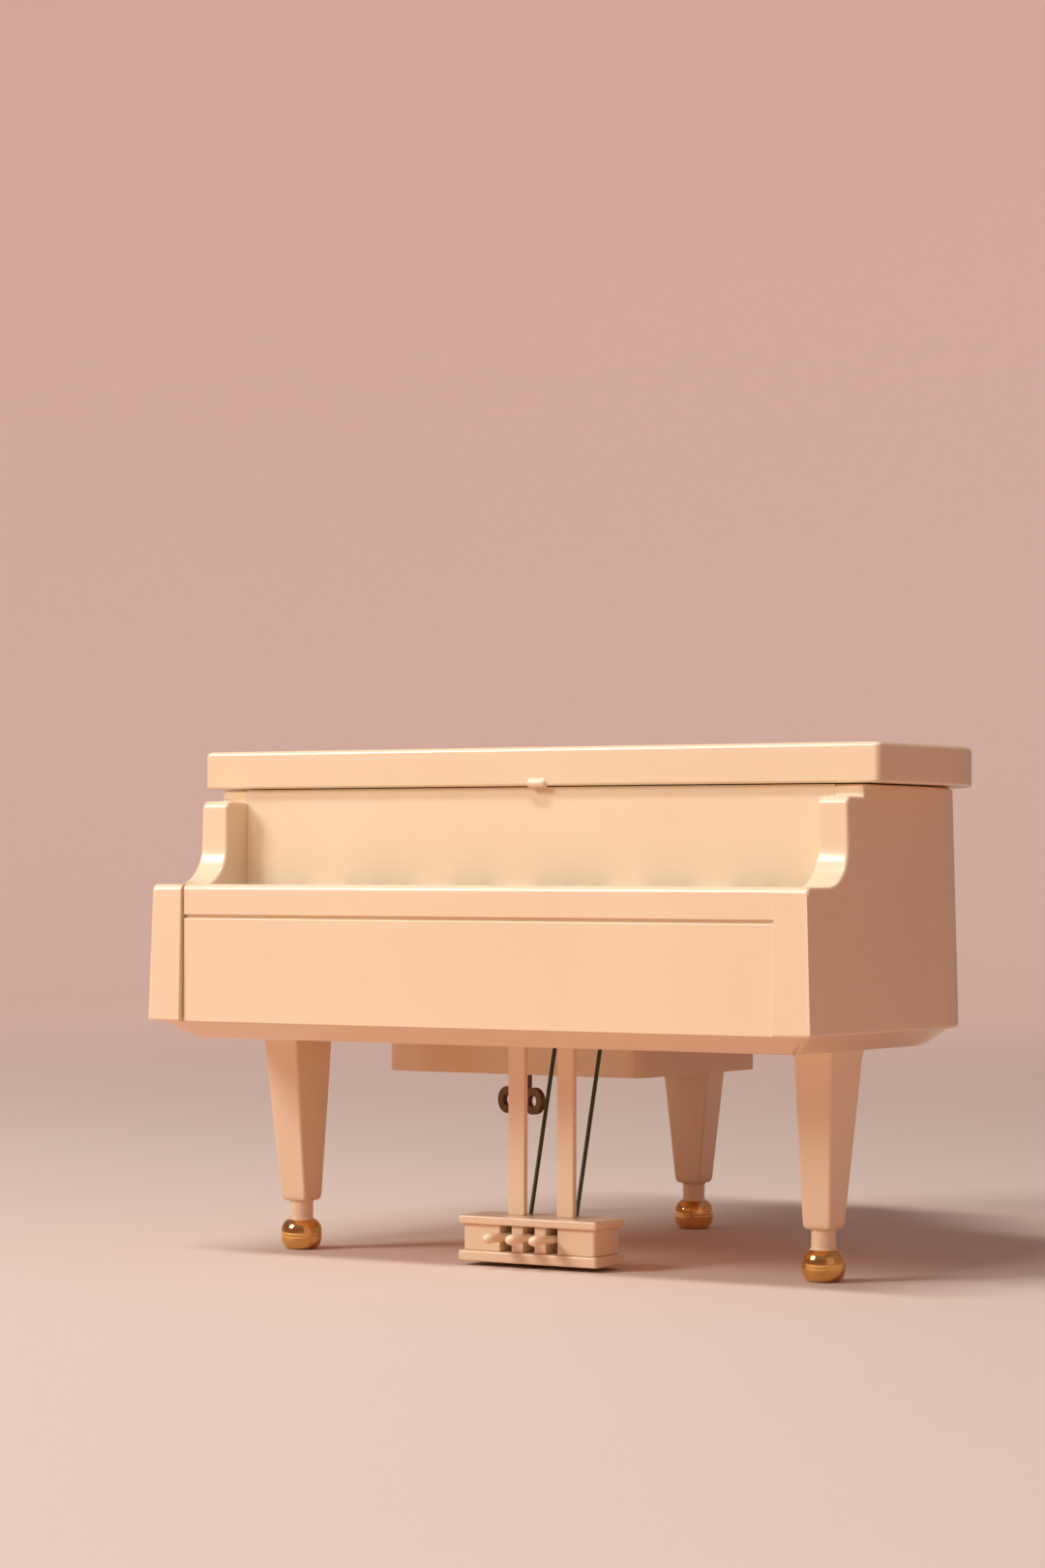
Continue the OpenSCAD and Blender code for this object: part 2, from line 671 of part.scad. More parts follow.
module lyre_box() lyre_place(ivory) difference() {
    lyre_slab(box_z, lyre_box_height, 0.8);
    for (i = [-1:1])
        box(i * pedal_pitch - slot_width / 2, 0, box_z - 1, slot_width, lyre_mid + 2,
            lyre_box_height + 2);
}

module lyre_cap() lyre_place(ivory) lyre_slab(cap_z, lyre_cap_thick, 0);

module lyre_posts() lyre_place(ivory)
    for (s = [-1, 1])
        box(s * post_pitch / 2 - post_width / 2, lyre_mid - post_thick / 2 + 0.35, post_z,
            post_width, post_thick, tray_bottom - post_z);

module lyre_rods() lyre_place(dark_green) {
    rise = tray_bottom - post_z;
    for (s = [-1, 1]) intersection() {
        translate([s * pedal_pitch, lyre_front + lyre_depth - rod_d, post_z])
            rotate([-atan(rod_slant / rise), 0, 0])
                translate([0, 0, -3]) cylinder(d = rod_d, h = norm([rod_slant, rise]) + 6);
        box(-half, lyre_front, post_z, case_width, 60, rise);
    }
}

module pedals() lyre_place(ivory)
    for (i = [-1:1]) translate([i * pedal_pitch, lyre_front + 0.9 - pedal_reach, pedal_z])
        across(-0.9, 0.9) polygon(concat(
            arc([0.8, 0], 0.8, 90, 270, 8),
            [[pedal_reach + 5.6, -0.8], [pedal_reach + 5.6, 0.8]]));

// ---- movement housing ----

module housing_plan(d) {
    polygon(slab(housing_x + housing_width / 2, housing_y + housing_depth / 2,
        housing_width - 2 * d, housing_depth - 2 * d, housing_round - d));
}

screw_sink = 0.9;
screw_x = [bay_x + 4.6, bay_x + bay_width - 10.6];
screw_y = [bay_y + 4.1, bay_y + bay_depth - 3.6];

module movement_housing() place(ivory) difference() {
    union() {
        translate([0, 0, housing_bottom]) linear_extrude(height = housing_drop) difference() {
            housing_plan(0);
            housing_plan(housing_wall);
        }
        translate([0, 0, housing_bottom]) linear_extrude(height = housing_wall) housing_plan(0.2);
        for (x = screw_x, y = screw_y) post(x, y, floor_top - 0.2, 2, boss + 0.2);
    }
    post(key_x, key_y, housing_bottom - 1, 2.4, 4);
    for (x = screw_x, y = screw_y) {
        post(x, y, housing_bottom - 1, 0.95, 5);
        post(x, y, housing_bottom - 1, 2.2, 1 + screw_sink);
    }
}

module housing_screws() place(steel)
    for (x = screw_x, y = screw_y) difference() {
        union() {
            post(x, y, housing_bottom + 0.1, 2.1, screw_sink - 0.1);
            post(x, y, housing_bottom + screw_sink - 0.1, 0.85,
                bed_top + 0.6 - housing_bottom - screw_sink);
        }
        box(x - 1.5, y - 0.25, housing_bottom - 1, 3, 0.5, 1.5);
        box(x - 0.25, y - 1.5, housing_bottom - 1, 0.5, 3, 1.5);
    }

// ---- movement ----

module bedplate() place(gold) difference() {
    box(bay_x + 1.4, bay_y + 1, bed_bottom, bay_width - 8.8, bay_depth - 1.6, plate);
    post(key_x, key_y, bed_bottom - 1, 1.6, 4);
    post(dancer_x, dancer_y, bed_bottom - 1, 0.95, 4);
    post(worm_x, worm_y, bed_bottom - 1, 0.55, 4);
    for (x = screw_x, y = screw_y) post(x, y, bed_bottom - 1, 0.9, 4);
}

barrel_z = bed_top + 1.2;
crown_z = axis_z - 2.8;

module spring_barrel() place(gold) translate([key_x, key_y, 0]) difference() {
    union() {
        translate([0, 0, barrel_z]) linear_extrude(height = 1.5) teeth(great_teeth, great_module);
        post(0, 0, bed_top + 0.1, 3, 1.3);
        post(0, 0, barrel_z + 1.4, barrel_r, crown_z - barrel_z - 1.4);
        translate([0, 0, crown_z - 0.1]) linear_extrude(height = 1.3)
            for (i = [0:great_teeth - 1]) rotate(i * 360 / great_teeth)
                translate([crown_r - 1, -0.19]) square([2, 0.38]);
    }
    post(0, 0, bed_top - 1, 1.35, 20);
}

module cylinder_side() { translate([key_x, 0, axis_z]) children(); }

module pinned_drum() place(gold) {
    cylinder_side() {
        axle(0, drum_y, 0, drum_r, drum_length);
        translate([0, wheel_y, 0]) rotate([-90, 0, 0]) linear_extrude(height = 1)
            teeth(wheel_teeth, wheel_module);
        translate([0, key_y + crown_r - 1.1, 0]) rotate([-90, 0, 0]) linear_extrude(height = 2.2)
            rotate(15) teeth(crown_pinion, crown_module);
        axle(0, key_y + crown_r - 1.5, 0, 0.8, bracket_y + 0.8 - key_y - crown_r + 1.5);
    }
}

module cylinder_pins() place(steel) cylinder_side()
    for (i = [0:notes - 1], k = [0:2]) let (a = (i * 137 + k * 113) % 360)
        translate([0, drum_y + drum_length * (i + 0.5) / notes, 0]) rotate([0, a, 0])
            translate([0, 0, drum_r - 0.1]) cylinder(r = 0.12, h = 0.42, $fn = 6);

comb_tip = key_x + drum_r + 0.45;
comb_root = dancer_x + 3.1;
comb_plate = 6;
comb_step = drum_length / notes;

module comb() place(steel) translate([0, 0, axis_z - 0.3]) difference() {
    linear_extrude(height = 0.6) union() {
        translate([comb_root, drum_y]) square([comb_plate, drum_length]);
        for (i = [0:notes - 1])
            translate([comb_tip, drum_y + comb_step * i + 0.1])
                square([comb_root - comb_tip + 1, comb_step - 0.2]);
    }
    for (k = [0.15, 0.5, 0.85]) post(comb_root + 3.2, drum_y + k * drum_length, -1, 0.85, 3);
}

module comb_block() place(gold)
    box(comb_root + 0.5, drum_y, bed_top, comb_plate - 0.5, drum_length, axis_rise - 0.3);

module comb_screws() place(steel)
    for (k = [0.15, 0.5, 0.85]) translate([comb_root + 3.2, drum_y + k * drum_length, 0])
        difference() {
            union() {
                post(0, 0, axis_z + 0.3, 1.5, 0.9);
                post(0, 0, axis_z - 0.3, 0.8, 0.7);
            }
            box(-2, -0.22, axis_z + 0.75, 4, 0.44, 1);
        }

module bearing_brackets() place(gold) difference() {
    h = axis_rise + 2.6;
    bridge_half = drum_r + 2.3;
    union() {
        box(key_x - bridge_half, front_bracket_y, bed_top, 2 * bridge_half, strip_thick, h);
        box(key_x - 4, bracket_y, bed_top, 8, strip_thick, h);
        box(idle_x - 2, bracket_y, bed_top, key_x - idle_x, strip_thick, h);
        box(idle_x - 2.2, wheel_y - 1.9, bed_top, 4.2, strip_thick, h);
    }
    axle(key_x, key_y, axis_z, 0.88, bay_depth);
    axle(idle_x, key_y, axis_z, 0.58, bay_depth);
    box(key_x - bridge_half + 2, front_bracket_y - 1.5, bed_top - 1, 2 * bridge_half - 4, 4, 4.6);
    for (x = [key_x - bridge_half - 1, key_x + 2.6])
        box(x, front_bracket_y - 1.5, bed_top + 6, bridge_half - 1.6, 4, axis_rise);
}

module idle_wheel() place(gold) translate([idle_x, 0, axis_z]) {
    translate([0, wheel_y - 0.1, 0]) rotate([-90, 0, 0]) linear_extrude(height = 1.2)
        rotate(180 / idle_teeth) teeth(idle_teeth, wheel_module);
    translate([0, worm_wheel_y, 0]) rotate([-90, 0, 0]) linear_extrude(height = 1)
        teeth(worm_wheel_teeth, worm_module * 0.97);
    axle(0, wheel_y - 2, 0, 0.5, bracket_y + 2.8 - wheel_y);
}

module governor() place(dark_steel) translate([worm_x, worm_y, 0]) {
    lead = 2 * PI * worm_module;
    h = 5;
    translate([0, 0, axis_z - h / 2]) rotate(90 - 180 * h / lead)
        linear_extrude(height = h, twist = -360 * h / lead, slices = 26) {
            circle(r = 1.05, $fn = 12);
            intersection() {
                circle(r = 1.8, $fn = 16);
                square([4, 0.9], center = true);
            }
        }
    post(0, 0, bed_bottom + 0.1, 0.5, axis_z + 7.9 - bed_bottom);
    for (a = [0, 180]) rotate(a) box(0.3, -0.2, axis_z + 4.3, fan_r - 0.3, 0.4, 2.9);
}

module governor_cock() place(gold) difference() {
    union() {
        box(worm_x - cock_reach, worm_y - cock_width / 2, bed_top, strip_thick, cock_width,
            axis_rise + cock_rise);
        box(worm_x - cock_reach, worm_y - cock_width / 2, axis_z + cock_rise - 0.6,
            cock_reach + 1.2, cock_width, 0.6);
    }
    post(worm_x, worm_y, axis_z + 6, 0.55, 4);
}

module winding_arbor() place(steel)
    post(key_x, key_y, housing_bottom - 3.4, 1.25, crown_z + 0.6 - housing_bottom + 3.4);

module winding_key() place(dark_steel) translate([key_x, key_y, housing_bottom - key_drop]) {
    difference() {
        post(0, 0, key_drop - 3.4, 2.1, 3.0);
        post(0, 0, key_drop - 3.4, 1.25, 4);
    }
    rotate(key_turn) difference() {
        rotate([90, 0, 0]) translate([0, 0, -0.6]) linear_extrude(height = 1.2) difference() {
            union() {
                for (s = [-1, 1]) translate([s * (key_width / 2 - 2.7), 2.7]) circle(r = 2.7);
                translate([-2.1, 0.6]) square([4.2, key_drop - 4]);
                translate([-key_width / 2 + 2.7, 1.2]) square([key_width - 5.4, 3]);
            }
            for (s = [-1, 1]) translate([s * (key_width / 2 - 2.7), 2.7]) circle(r = 1.2);
        }
    }
}

// ---- dancer ----

module turntable() place(gold) translate([dancer_x, dancer_y, 0]) {
    post(0, 0, stage_z, turntable_r, turntable_thick);
    post(0, 0, bed_bottom + 0.1, 0.9, stage_z - bed_bottom);
    translate([0, 0, barrel_z - 0.1]) linear_extrude(height = 1.7)
        rotate(180 / dancer_teeth) teeth(dancer_teeth, great_module);
}

module dancer_spring() place(steel) translate([dancer_x, dancer_y, spring_z]) {
    turns = 4;
    n = 16;
    r = 1.5;
    w = 0.28;
    loft([for (i = [0:turns * n]) let (a = 360 * i / n, z = w + (spring_height - 2 * w) * i / (turns * n))
        [for (k = [0:7]) let (b = 45 * k, q = r + w * cos(b)) [q * cos(a), q * sin(a), z - w * sin(b)]]]);
}

u = dancer_height / 26.6;

module limb(a, b, ra, rb) {
    d = b - a;
    translate(a) rotate([0, acos(d.z / norm(d)), atan2(d.y, d.x)])
        cylinder(r1 = ra, r2 = rb, h = norm(d), $fn = 24);
    translate(b) sphere(r = rb * 1.12, $fn = 24);
}

module dancer_figure() place(skin) translate([dancer_x, dancer_y, toe_z]) scale(u) {
    limb([0, 0, 0], [0, 0, 6.6], 0.35, 0.62);
    limb([0, 0, 6.6], [0.3, 0, 13.2], 0.62, 1.05);
    limb([0.4, 0, 13.0], [4.2, -0.8, 9.2], 1.0, 0.62);
    limb([4.2, -0.8, 9.2], [0.8, -0.6, 5.4], 0.62, 0.3);
    translate([0, 0, 12.2]) rotate_extrude($fn = 32) polygon([[0, 0], [1.2, 0.1], [1.75, 1.2],
        [1.7, 2.2], [1.2, 3.8], [1.3, 4.8], [1.65, 6.3], [1.5, 7.1], [0.75, 7.8], [0.55, 8.2],
        [0.5, 9.2], [0, 9.2]]);
    translate([0, 0, 22.6]) sphere(r = 1.6, $fn = 32);
    translate([0, 1.5, 23.7]) sphere(r = 0.75, $fn = 24);
    for (s = [-1, 1]) {
        limb([s * 1.4, 0, 19.0], [s * 3.6, -0.4, 21.6], 0.5, 0.42);
        limb([s * 3.6, -0.4, 21.6], [s * 2.9, -0.5, 24.4], 0.42, 0.34);
        limb([s * 2.9, -0.5, 24.4], [s * 0.7, -0.5, 26.1], 0.34, 0.22);
    }
}

module dancer_skirt() place(rose) translate([dancer_x, dancer_y, toe_z]) scale(u) difference() {
    rotate_extrude($fn = 48) polygon([[0.5, 14.6], [2.2, 14.0], [5.4, 13.6], [skirt_r / u, 13.1],
        [skirt_r / u, 12.6], [5.4, 12.9], [2.0, 13.0], [0.5, 13.0]]);
    post(0, 0, 11, 1.78, 5);
}

case_rim();
base_tray();
front_panel();
key_slip();
key_bed();
white_keys();
black_keys();
fascia();
jewellery_tray();
ring_cushion();
lid();
lid_mirror();
hinge_case_leaves();
hinge_lid_leaves();
hinge_pins();
leg_front_left();
leg_front_right();
leg_rear();
foot_front_left();
foot_front_right();
foot_rear();
lyre_foot();
lyre_box();
lyre_cap();
lyre_posts();
lyre_rods();
pedals();
movement_housing();
housing_screws();
bedplate();
spring_barrel();
pinned_drum();
cylinder_pins();
comb();
comb_block();
comb_screws();
bearing_brackets();
idle_wheel();
governor();
governor_cock();
winding_arbor();
winding_key();
turntable();
dancer_spring();
dancer_figure();
dancer_skirt();
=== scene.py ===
import json
import math

import bmesh
import bpy
import numpy as np
from bpy.props import FloatProperty, FloatVectorProperty, IntProperty, PointerProperty
from mathutils import Matrix, Vector

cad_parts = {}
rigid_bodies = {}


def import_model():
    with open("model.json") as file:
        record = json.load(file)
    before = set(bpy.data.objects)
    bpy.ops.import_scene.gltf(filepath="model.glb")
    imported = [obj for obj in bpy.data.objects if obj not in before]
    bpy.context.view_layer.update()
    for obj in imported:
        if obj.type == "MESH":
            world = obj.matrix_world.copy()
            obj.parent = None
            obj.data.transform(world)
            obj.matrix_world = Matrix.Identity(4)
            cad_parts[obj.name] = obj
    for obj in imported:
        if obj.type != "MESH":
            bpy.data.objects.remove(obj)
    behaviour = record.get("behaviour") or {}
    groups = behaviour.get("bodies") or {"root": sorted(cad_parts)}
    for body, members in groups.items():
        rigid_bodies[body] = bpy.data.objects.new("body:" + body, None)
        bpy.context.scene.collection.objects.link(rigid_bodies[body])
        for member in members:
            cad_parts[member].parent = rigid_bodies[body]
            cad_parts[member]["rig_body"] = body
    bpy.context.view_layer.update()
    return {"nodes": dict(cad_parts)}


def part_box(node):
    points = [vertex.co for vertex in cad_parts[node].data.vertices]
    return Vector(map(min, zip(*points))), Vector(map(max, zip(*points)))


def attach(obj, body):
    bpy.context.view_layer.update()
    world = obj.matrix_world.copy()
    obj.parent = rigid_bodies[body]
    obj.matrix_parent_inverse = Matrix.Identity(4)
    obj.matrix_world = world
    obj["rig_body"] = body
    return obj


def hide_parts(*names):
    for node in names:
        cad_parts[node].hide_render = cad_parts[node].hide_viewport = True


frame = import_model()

bl_info = {
    "name": "Grand piano jewellery box",
    "version": (1, 0, 0),
    "blender": (4, 2, 0),
    "location": "3D View > Sidebar > Piano Box",
    "description": "Finishes, soft goods, dancer and stage for a miniature piano jewellery box",
    "category": "Object",
}

MM = 0.001
NODES = frame["nodes"]

# Sizes that the finish pieces share with the solids, in millimetres from the keyboard end.
MID_Y = 66.0
TRAY_BOTTOM = 41.6
BALL_D, BALL_HEIGHT, NECK_D, NECK_TOP = 8.0, 5.7, 4.5, 9.4
LEGS = {
    "front_left": (-57.35, 31.2, -1.0, 0.0),
    "front_right": (57.35, 31.2, 1.0, 0.0),
    "rear": (-16.7, 113.2, 0.0, 90.0),
}
BLOCK_X, CHEEK_X, FASCIA_Y = 63.85, 64.25, 22.3
# The end blocks' outer face and bottom, its lean inwards, and the hairline ledge at their top.
BLOCK_OUT, BLOCK_BOTTOM, SIDE_LEAN = 71.35, 44.8, 0.02558
CORNER_X, CORNER_Y = 69.8, 1.5
LEDGE_Y, LEDGE_Z = 0.517, 69.6
LYRE_X = 0.75
DANCER = (-18.9, 73.0)
TOE_Z, SPRING_Z, SKIRT_R = 62.0, 58.4, 8.5

# The camera that the photograph's edges were fitted to, with its focal length in pixels.
FOCAL_PX, PHOTO_PX, SENSOR = 4208.0, 1620.0, 36.0
CAMERA_YAW, CAMERA_PITCH, CAMERA_ROLL = 32.346, 1.231, 0.146
CAMERA_X, CAMERA_Y, CAMERA_Z = 0.40304, -0.61596, 0.073323


# ---------------------------------------------------------------- colours


def rgb(r, g, b, a=1.0):
    """Linear colour from the 0 to 255 values that a paint card gives."""
    c = np.array([r, g, b]) / 255.0
    lin = np.where(c <= 0.04045, c / 12.92, ((c + 0.055) / 1.055) ** 2.4)
    return (float(lin[0]), float(lin[1]), float(lin[2]), a)


# ---------------------------------------------------------------- meshes


def link(obj, body="case"):
    """Puts a finished piece in the scene and lets it ride on its body."""
    bpy.context.scene.collection.objects.link(obj)
    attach(obj, body)
    return obj


def tidy_mesh(me, merge=2e-6, outward=True):
    """Merges doubled points and turns the faces outwards."""
    bm = bmesh.new()
    bm.from_mesh(me)
    bmesh.ops.remove_doubles(bm, verts=bm.verts, dist=merge)
    if outward:
        bmesh.ops.recalc_face_normals(bm, faces=bm.faces)
    bm.to_mesh(me)
    bm.free()


def shade(me, angle=38.0):
    """Smooth faces, with edges sharper than the angle kept crisp."""
    bm = bmesh.new()
    bm.from_mesh(me)
    limit = math.radians(angle)
    for f in bm.faces:
        f.smooth = True
    for e in bm.edges:
        e.smooth = len(e.link_faces) == 2 and e.calc_face_angle(0.0) < limit
    bm.to_mesh(me)
    bm.free()


def weighted(obj):
    """Large faces keep their own normals where a small rounding meets them."""
    mod = obj.modifiers.new("face weights", "WEIGHTED_NORMAL")
    mod.mode = "FACE_AREA"
    mod.keep_sharp = True
    return obj


def grid_faces(nu, nv, close_u, close_v, base=0):
    """Quads of an nu by nv grid of points, wrapped where asked."""
    iu = np.arange(nu if close_u else nu - 1)
    iv = np.arange(nv if close_v else nv - 1)
    a, b = np.meshgrid(iu, iv, indexing="ij")
    a, b = a.ravel(), b.ravel()
    a2, b2 = (a + 1) % nu, (b + 1) % nv
    return np.stack([a * nv + b, a2 * nv + b, a2 * nv + b2, a * nv + b2], 1) + base


def sheet_mesh(name, grids, wraps, caps=(), merge=2e-6, outward=True, angle=38.0):
    """One mesh from several point grids (each nu by nv by 3, in mm from the keyboard end).

    wraps holds (close_u, close_v) for each grid. caps lists (grid, row) pairs whose row of
    points is closed by one flat face.
    """
    points, faces, rings, base = [], [], [], 0
    for g, (cu, cv) in zip(grids, wraps):
        nu, nv = g.shape[:2]
        points.append(g.reshape(-1, 3))
        faces += grid_faces(nu, nv, cu, cv, base).tolist()
        rings.append((base, nu, nv))
        base += nu * nv
    for k, row in caps:
        b, nu, nv = rings[k]
        row %= nu
        faces.append(list(range(b + row * nv, b + (row + 1) * nv)))
    p = np.concatenate(points).astype(float)
    p[:, 1] -= MID_Y
    me = bpy.data.meshes.new(name)
    me.from_pydata((p * MM).tolist(), [], faces)
    me.update()
    tidy_mesh(me, merge, outward)
    shade(me, angle)
    return bpy.data.objects.new(name, me)


def soften(node, width, segments=3, angle=30.0, clamp=True, merge=0.003, fine=None,
           crisp=None, square=None):
    """A merged copy of a solid whose edges are rounded by the given width in mm.

    Points closer than merge mm are joined first. fine is a pair: a test of an edge's middle
    (in mm from the keyboard end) and the smaller width that such edges get. crisp is a test
    for edges that stay as they are. square gives a point its new place, or None to leave it.
    """
    me = NODES[node].data.copy()
    me.name = node + "_piece"
    bm = bmesh.new()
    bm.from_mesh(me)
    bmesh.ops.remove_doubles(bm, verts=bm.verts, dist=merge * MM)
    if square:
        for v in bm.verts:
            place = square(v.co.x / MM, v.co.y / MM + MID_Y, v.co.z / MM)
            if place:
                v.co = Vector((place[0], place[1] - MID_Y, place[2])) * MM
        bmesh.ops.remove_doubles(bm, verts=bm.verts, dist=merge * MM)
        bmesh.ops.dissolve_degenerate(bm, edges=bm.edges, dist=1e-6)
    bmesh.ops.dissolve_limit(
        bm, angle_limit=math.radians(0.6), verts=bm.verts, edges=bm.edges
    )
    limit = math.radians(angle)

    def sharp(test):
        picked = []
        for e in bm.edges:
            if len(e.link_faces) == 2 and e.calc_face_angle(0.0) > limit:
                x, y, z = (e.verts[0].co + e.verts[1].co) / (2 * MM)
                if test(x, y + MID_Y, z):
                    picked.append(e)
        return picked

    stay = crisp or (lambda x, y, z: False)
    small = fine[0] if fine else (lambda x, y, z: False)
    passes = [(lambda x, y, z: not stay(x, y, z) and not small(x, y, z), width)]
    if fine:
        passes.append((lambda x, y, z: not stay(x, y, z) and small(x, y, z), fine[1]))
    for test, w in passes:
        bmesh.ops.bevel(
            bm, geom=sharp(test), offset=w * MM, offset_type="OFFSET", segments=segments,
            profile=0.5, affect="EDGES", clamp_overlap=clamp, miter_outer="ARC",
        )
    bmesh.ops.remove_doubles(bm, verts=bm.verts, dist=1e-6)
    bm.to_mesh(me)
    bm.free()
    me.materials.clear()
    shade(me)
    obj = bpy.data.objects.new(me.name, me)
    link(obj, NODES[node]["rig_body"])
    weighted(obj)
    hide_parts(node)
    return obj


def arc(cx, cy, r, a, b, n):
    """n + 1 points of a circle's arc from a to b degrees."""
    t = np.radians(np.linspace(a, b, n + 1))
    return np.stack([cx + r * np.cos(t), cy + r * np.sin(t)], 1)


def raise_to(plan, z):
    """Plan points lifted to height z."""
    return np.column_stack([plan, np.full(len(plan), float(z))])


def rounded_box_ring(cx, cy, sx, sy, r, n=6):
    """Closed ring of a rounded rectangle."""
    return np.concatenate([
        arc(cx + sx / 2 - r, cy + sy / 2 - r, r, 0, 90, n),
        arc(cx - sx / 2 + r, cy + sy / 2 - r, r, 90, 180, n),
        arc(cx - sx / 2 + r, cy - sy / 2 + r, r, 180, 270, n),
        arc(cx + sx / 2 - r, cy - sy / 2 + r, r, 270, 360, n),
    ])


def revolve(profile, cx, cy, n=64):
    """Grid of a profile of (radius, z) turned about an upright axis at (cx, cy)."""
    t = np.linspace(0, 2 * np.pi, n, endpoint=False)
    r, z = np.asarray(profile, float).T
    return np.stack([
        cx + r[:, None] * np.cos(t), cy + r[:, None] * np.sin(t),
        np.repeat(z[:, None], n, 1),
    ], 2)


def smooth_path(keys, n):
    """n points on a Catmull-Rom curve through the keys, each of any number of values."""
    k = np.asarray(keys, float)
    k = np.concatenate([[2 * k[0] - k[1]], k, [2 * k[-1] - k[-2]]])
    s = np.linspace(0, len(k) - 3 - 1e-9, n)
    i = s.astype(int)
    t = (s - i)[:, None]
    a, b, c, d = k[i], k[i + 1], k[i + 2], k[i + 3]
    return 0.5 * (2 * b + (c - a) * t + (2 * a - 5 * b + 4 * c - d) * t ** 2
                  + (3 * b - a - 3 * c + d) * t ** 3)


def tube(path, radius, n=20, flat=1.0, side=(0.0, 1.0, 0.0)):
    """Grid of a round or oval section carried along a path; its ends close to points.

    The section's first axis is the one nearest to side; flat scales the second one.
    """
    p = np.asarray(path, float)
    r = np.broadcast_to(np.asarray(radius, float), (len(p),)).copy()
    tan = np.gradient(p, axis=0)
    tan /= np.linalg.norm(tan, axis=1)[:, None]
    u = np.asarray(side, float) - (tan @ np.asarray(side, float))[:, None] * tan
    u /= np.linalg.norm(u, axis=1)[:, None]
    v = np.cross(tan, u)
    # rounded ends: two extra rings and a point at each
    head = p[0] - tan[0] * r[0] * np.array([1.0, 0.87, 0.5])[:, None]
    tail = p[-1] + tan[-1] * r[-1] * np.array([0.5, 0.87, 1.0])[:, None]
    pp = np.concatenate([head, p, tail])
    rr = np.concatenate([r[0] * np.array([0.001, 0.5, 0.87]), r,
                         r[-1] * np.array([0.87, 0.5, 0.001])])
    uu = np.concatenate([np.repeat(u[:1], 3, 0), u, np.repeat(u[-1:], 3, 0)])
    vv = np.concatenate([np.repeat(v[:1], 3, 0), v, np.repeat(v[-1:], 3, 0)])
    t = np.linspace(0, 2 * np.pi, n, endpoint=False)
    ring = (uu[:, None] * np.cos(t)[None, :, None]
            + flat * vv[:, None] * np.sin(t)[None, :, None])
    return pp[:, None] + rr[:, None, None] * ring


# ---------------------------------------------------------------- materials


class Wire:
    """A shader value; arithmetic on it adds Math nodes."""

    def __init__(self, finish, socket):
        self.finish, self.socket = finish, socket

    def _math(self, kind, a, b=0.0):
        return self.finish.node("ShaderNodeMath", {"operation": kind}, {0: a, 1: b})

    def __add__(self, o):
        return self._math("ADD", self, o)

    __radd__ = __add__

    def __sub__(self, o):
        return self._math("SUBTRACT", self, o)

    def __rsub__(self, o):
        return self._math("SUBTRACT", o, self)

    def __mul__(self, o):
        return self._math("MULTIPLY", self, o)

    __rmul__ = __mul__

    def __pow__(self, o):
        return self._math("POWER", self, o)

    def sine(self):
        return self._math("SINE", self)

    def size(self):
        return self._math("ABSOLUTE", self)

    def ramp(self, low, high, a=0.0, b=1.0):
        """Smooth step from a to b as the value goes from low to high."""
        return self.finish.node(
            "ShaderNodeMapRange", {"interpolation_type": "SMOOTHSTEP"},
            {0: self, 1: low, 2: high, 3: a, 4: b},
        )


class Finish:
    """A material under construction: one glossy or rough surface shader and its nodes."""

    def __init__(self, name, **fixed):
        self.mat = bpy.data.materials.new(name)
        self.mat.use_nodes = True
        self.tree = self.mat.node_tree
        self.shader = self.tree.nodes["Principled BSDF"]
        self.set(**fixed)
        self.place = self.node("ShaderNodeTexCoord", {}, {}, "Object")

    def set(self, **values):
        for key, value in values.items():
            self.feed(self.shader.inputs[key.replace("_", " ")], value)
        return self

    def feed(self, socket, value):
        if isinstance(value, Wire):
            self.tree.links.new(value.socket, socket)
        elif value is not None:
            socket.default_value = value

    def node(self, kind, settings, feeds, out=0):
        n = self.tree.nodes.new(kind)
        for key, value in settings.items():
            setattr(n, key, value)
        for key, value in feeds.items():
            self.feed(n.inputs[key], value)
        return Wire(self, n.outputs[out])

    def noise(self, scale, detail=3.0, rough=0.5, stretch=None, warp=0.0):
        """Cloudy noise on the piece, stretch being a scale for each axis."""
        return self.node(
            "ShaderNodeTexNoise", {},
            {"Vector": self.spread(stretch), "Scale": scale, "Detail": detail,
             "Roughness": rough, "Distortion": warp},
        )

    def cells(self, scale):
        """Distance to the nearest of many scattered points."""
        return self.node("ShaderNodeTexVoronoi", {}, {"Vector": self.place, "Scale": scale},
                         "Distance")

    def spread(self, stretch):
        if stretch is None:
            return self.place
        return self.node("ShaderNodeMapping", {}, {"Vector": self.place, "Scale": stretch})

    def axis(self, which):
        return self.node("ShaderNodeSeparateXYZ", {}, {"Vector": self.place}, which)

    def mix(self, share, a, b):
        """Colour a where share is 0 and b where it is 1."""
        return self.node("ShaderNodeMix", {"data_type": "RGBA"}, {0: share, 6: a, 7: b}, 2)

    def bump(self, height, depth_mm, strength=1.0):
        """Relief whose full height is depth_mm."""
        return self.node("ShaderNodeBump", {}, {"Height": height, "Distance": depth_mm * MM,
                                                "Strength": strength})


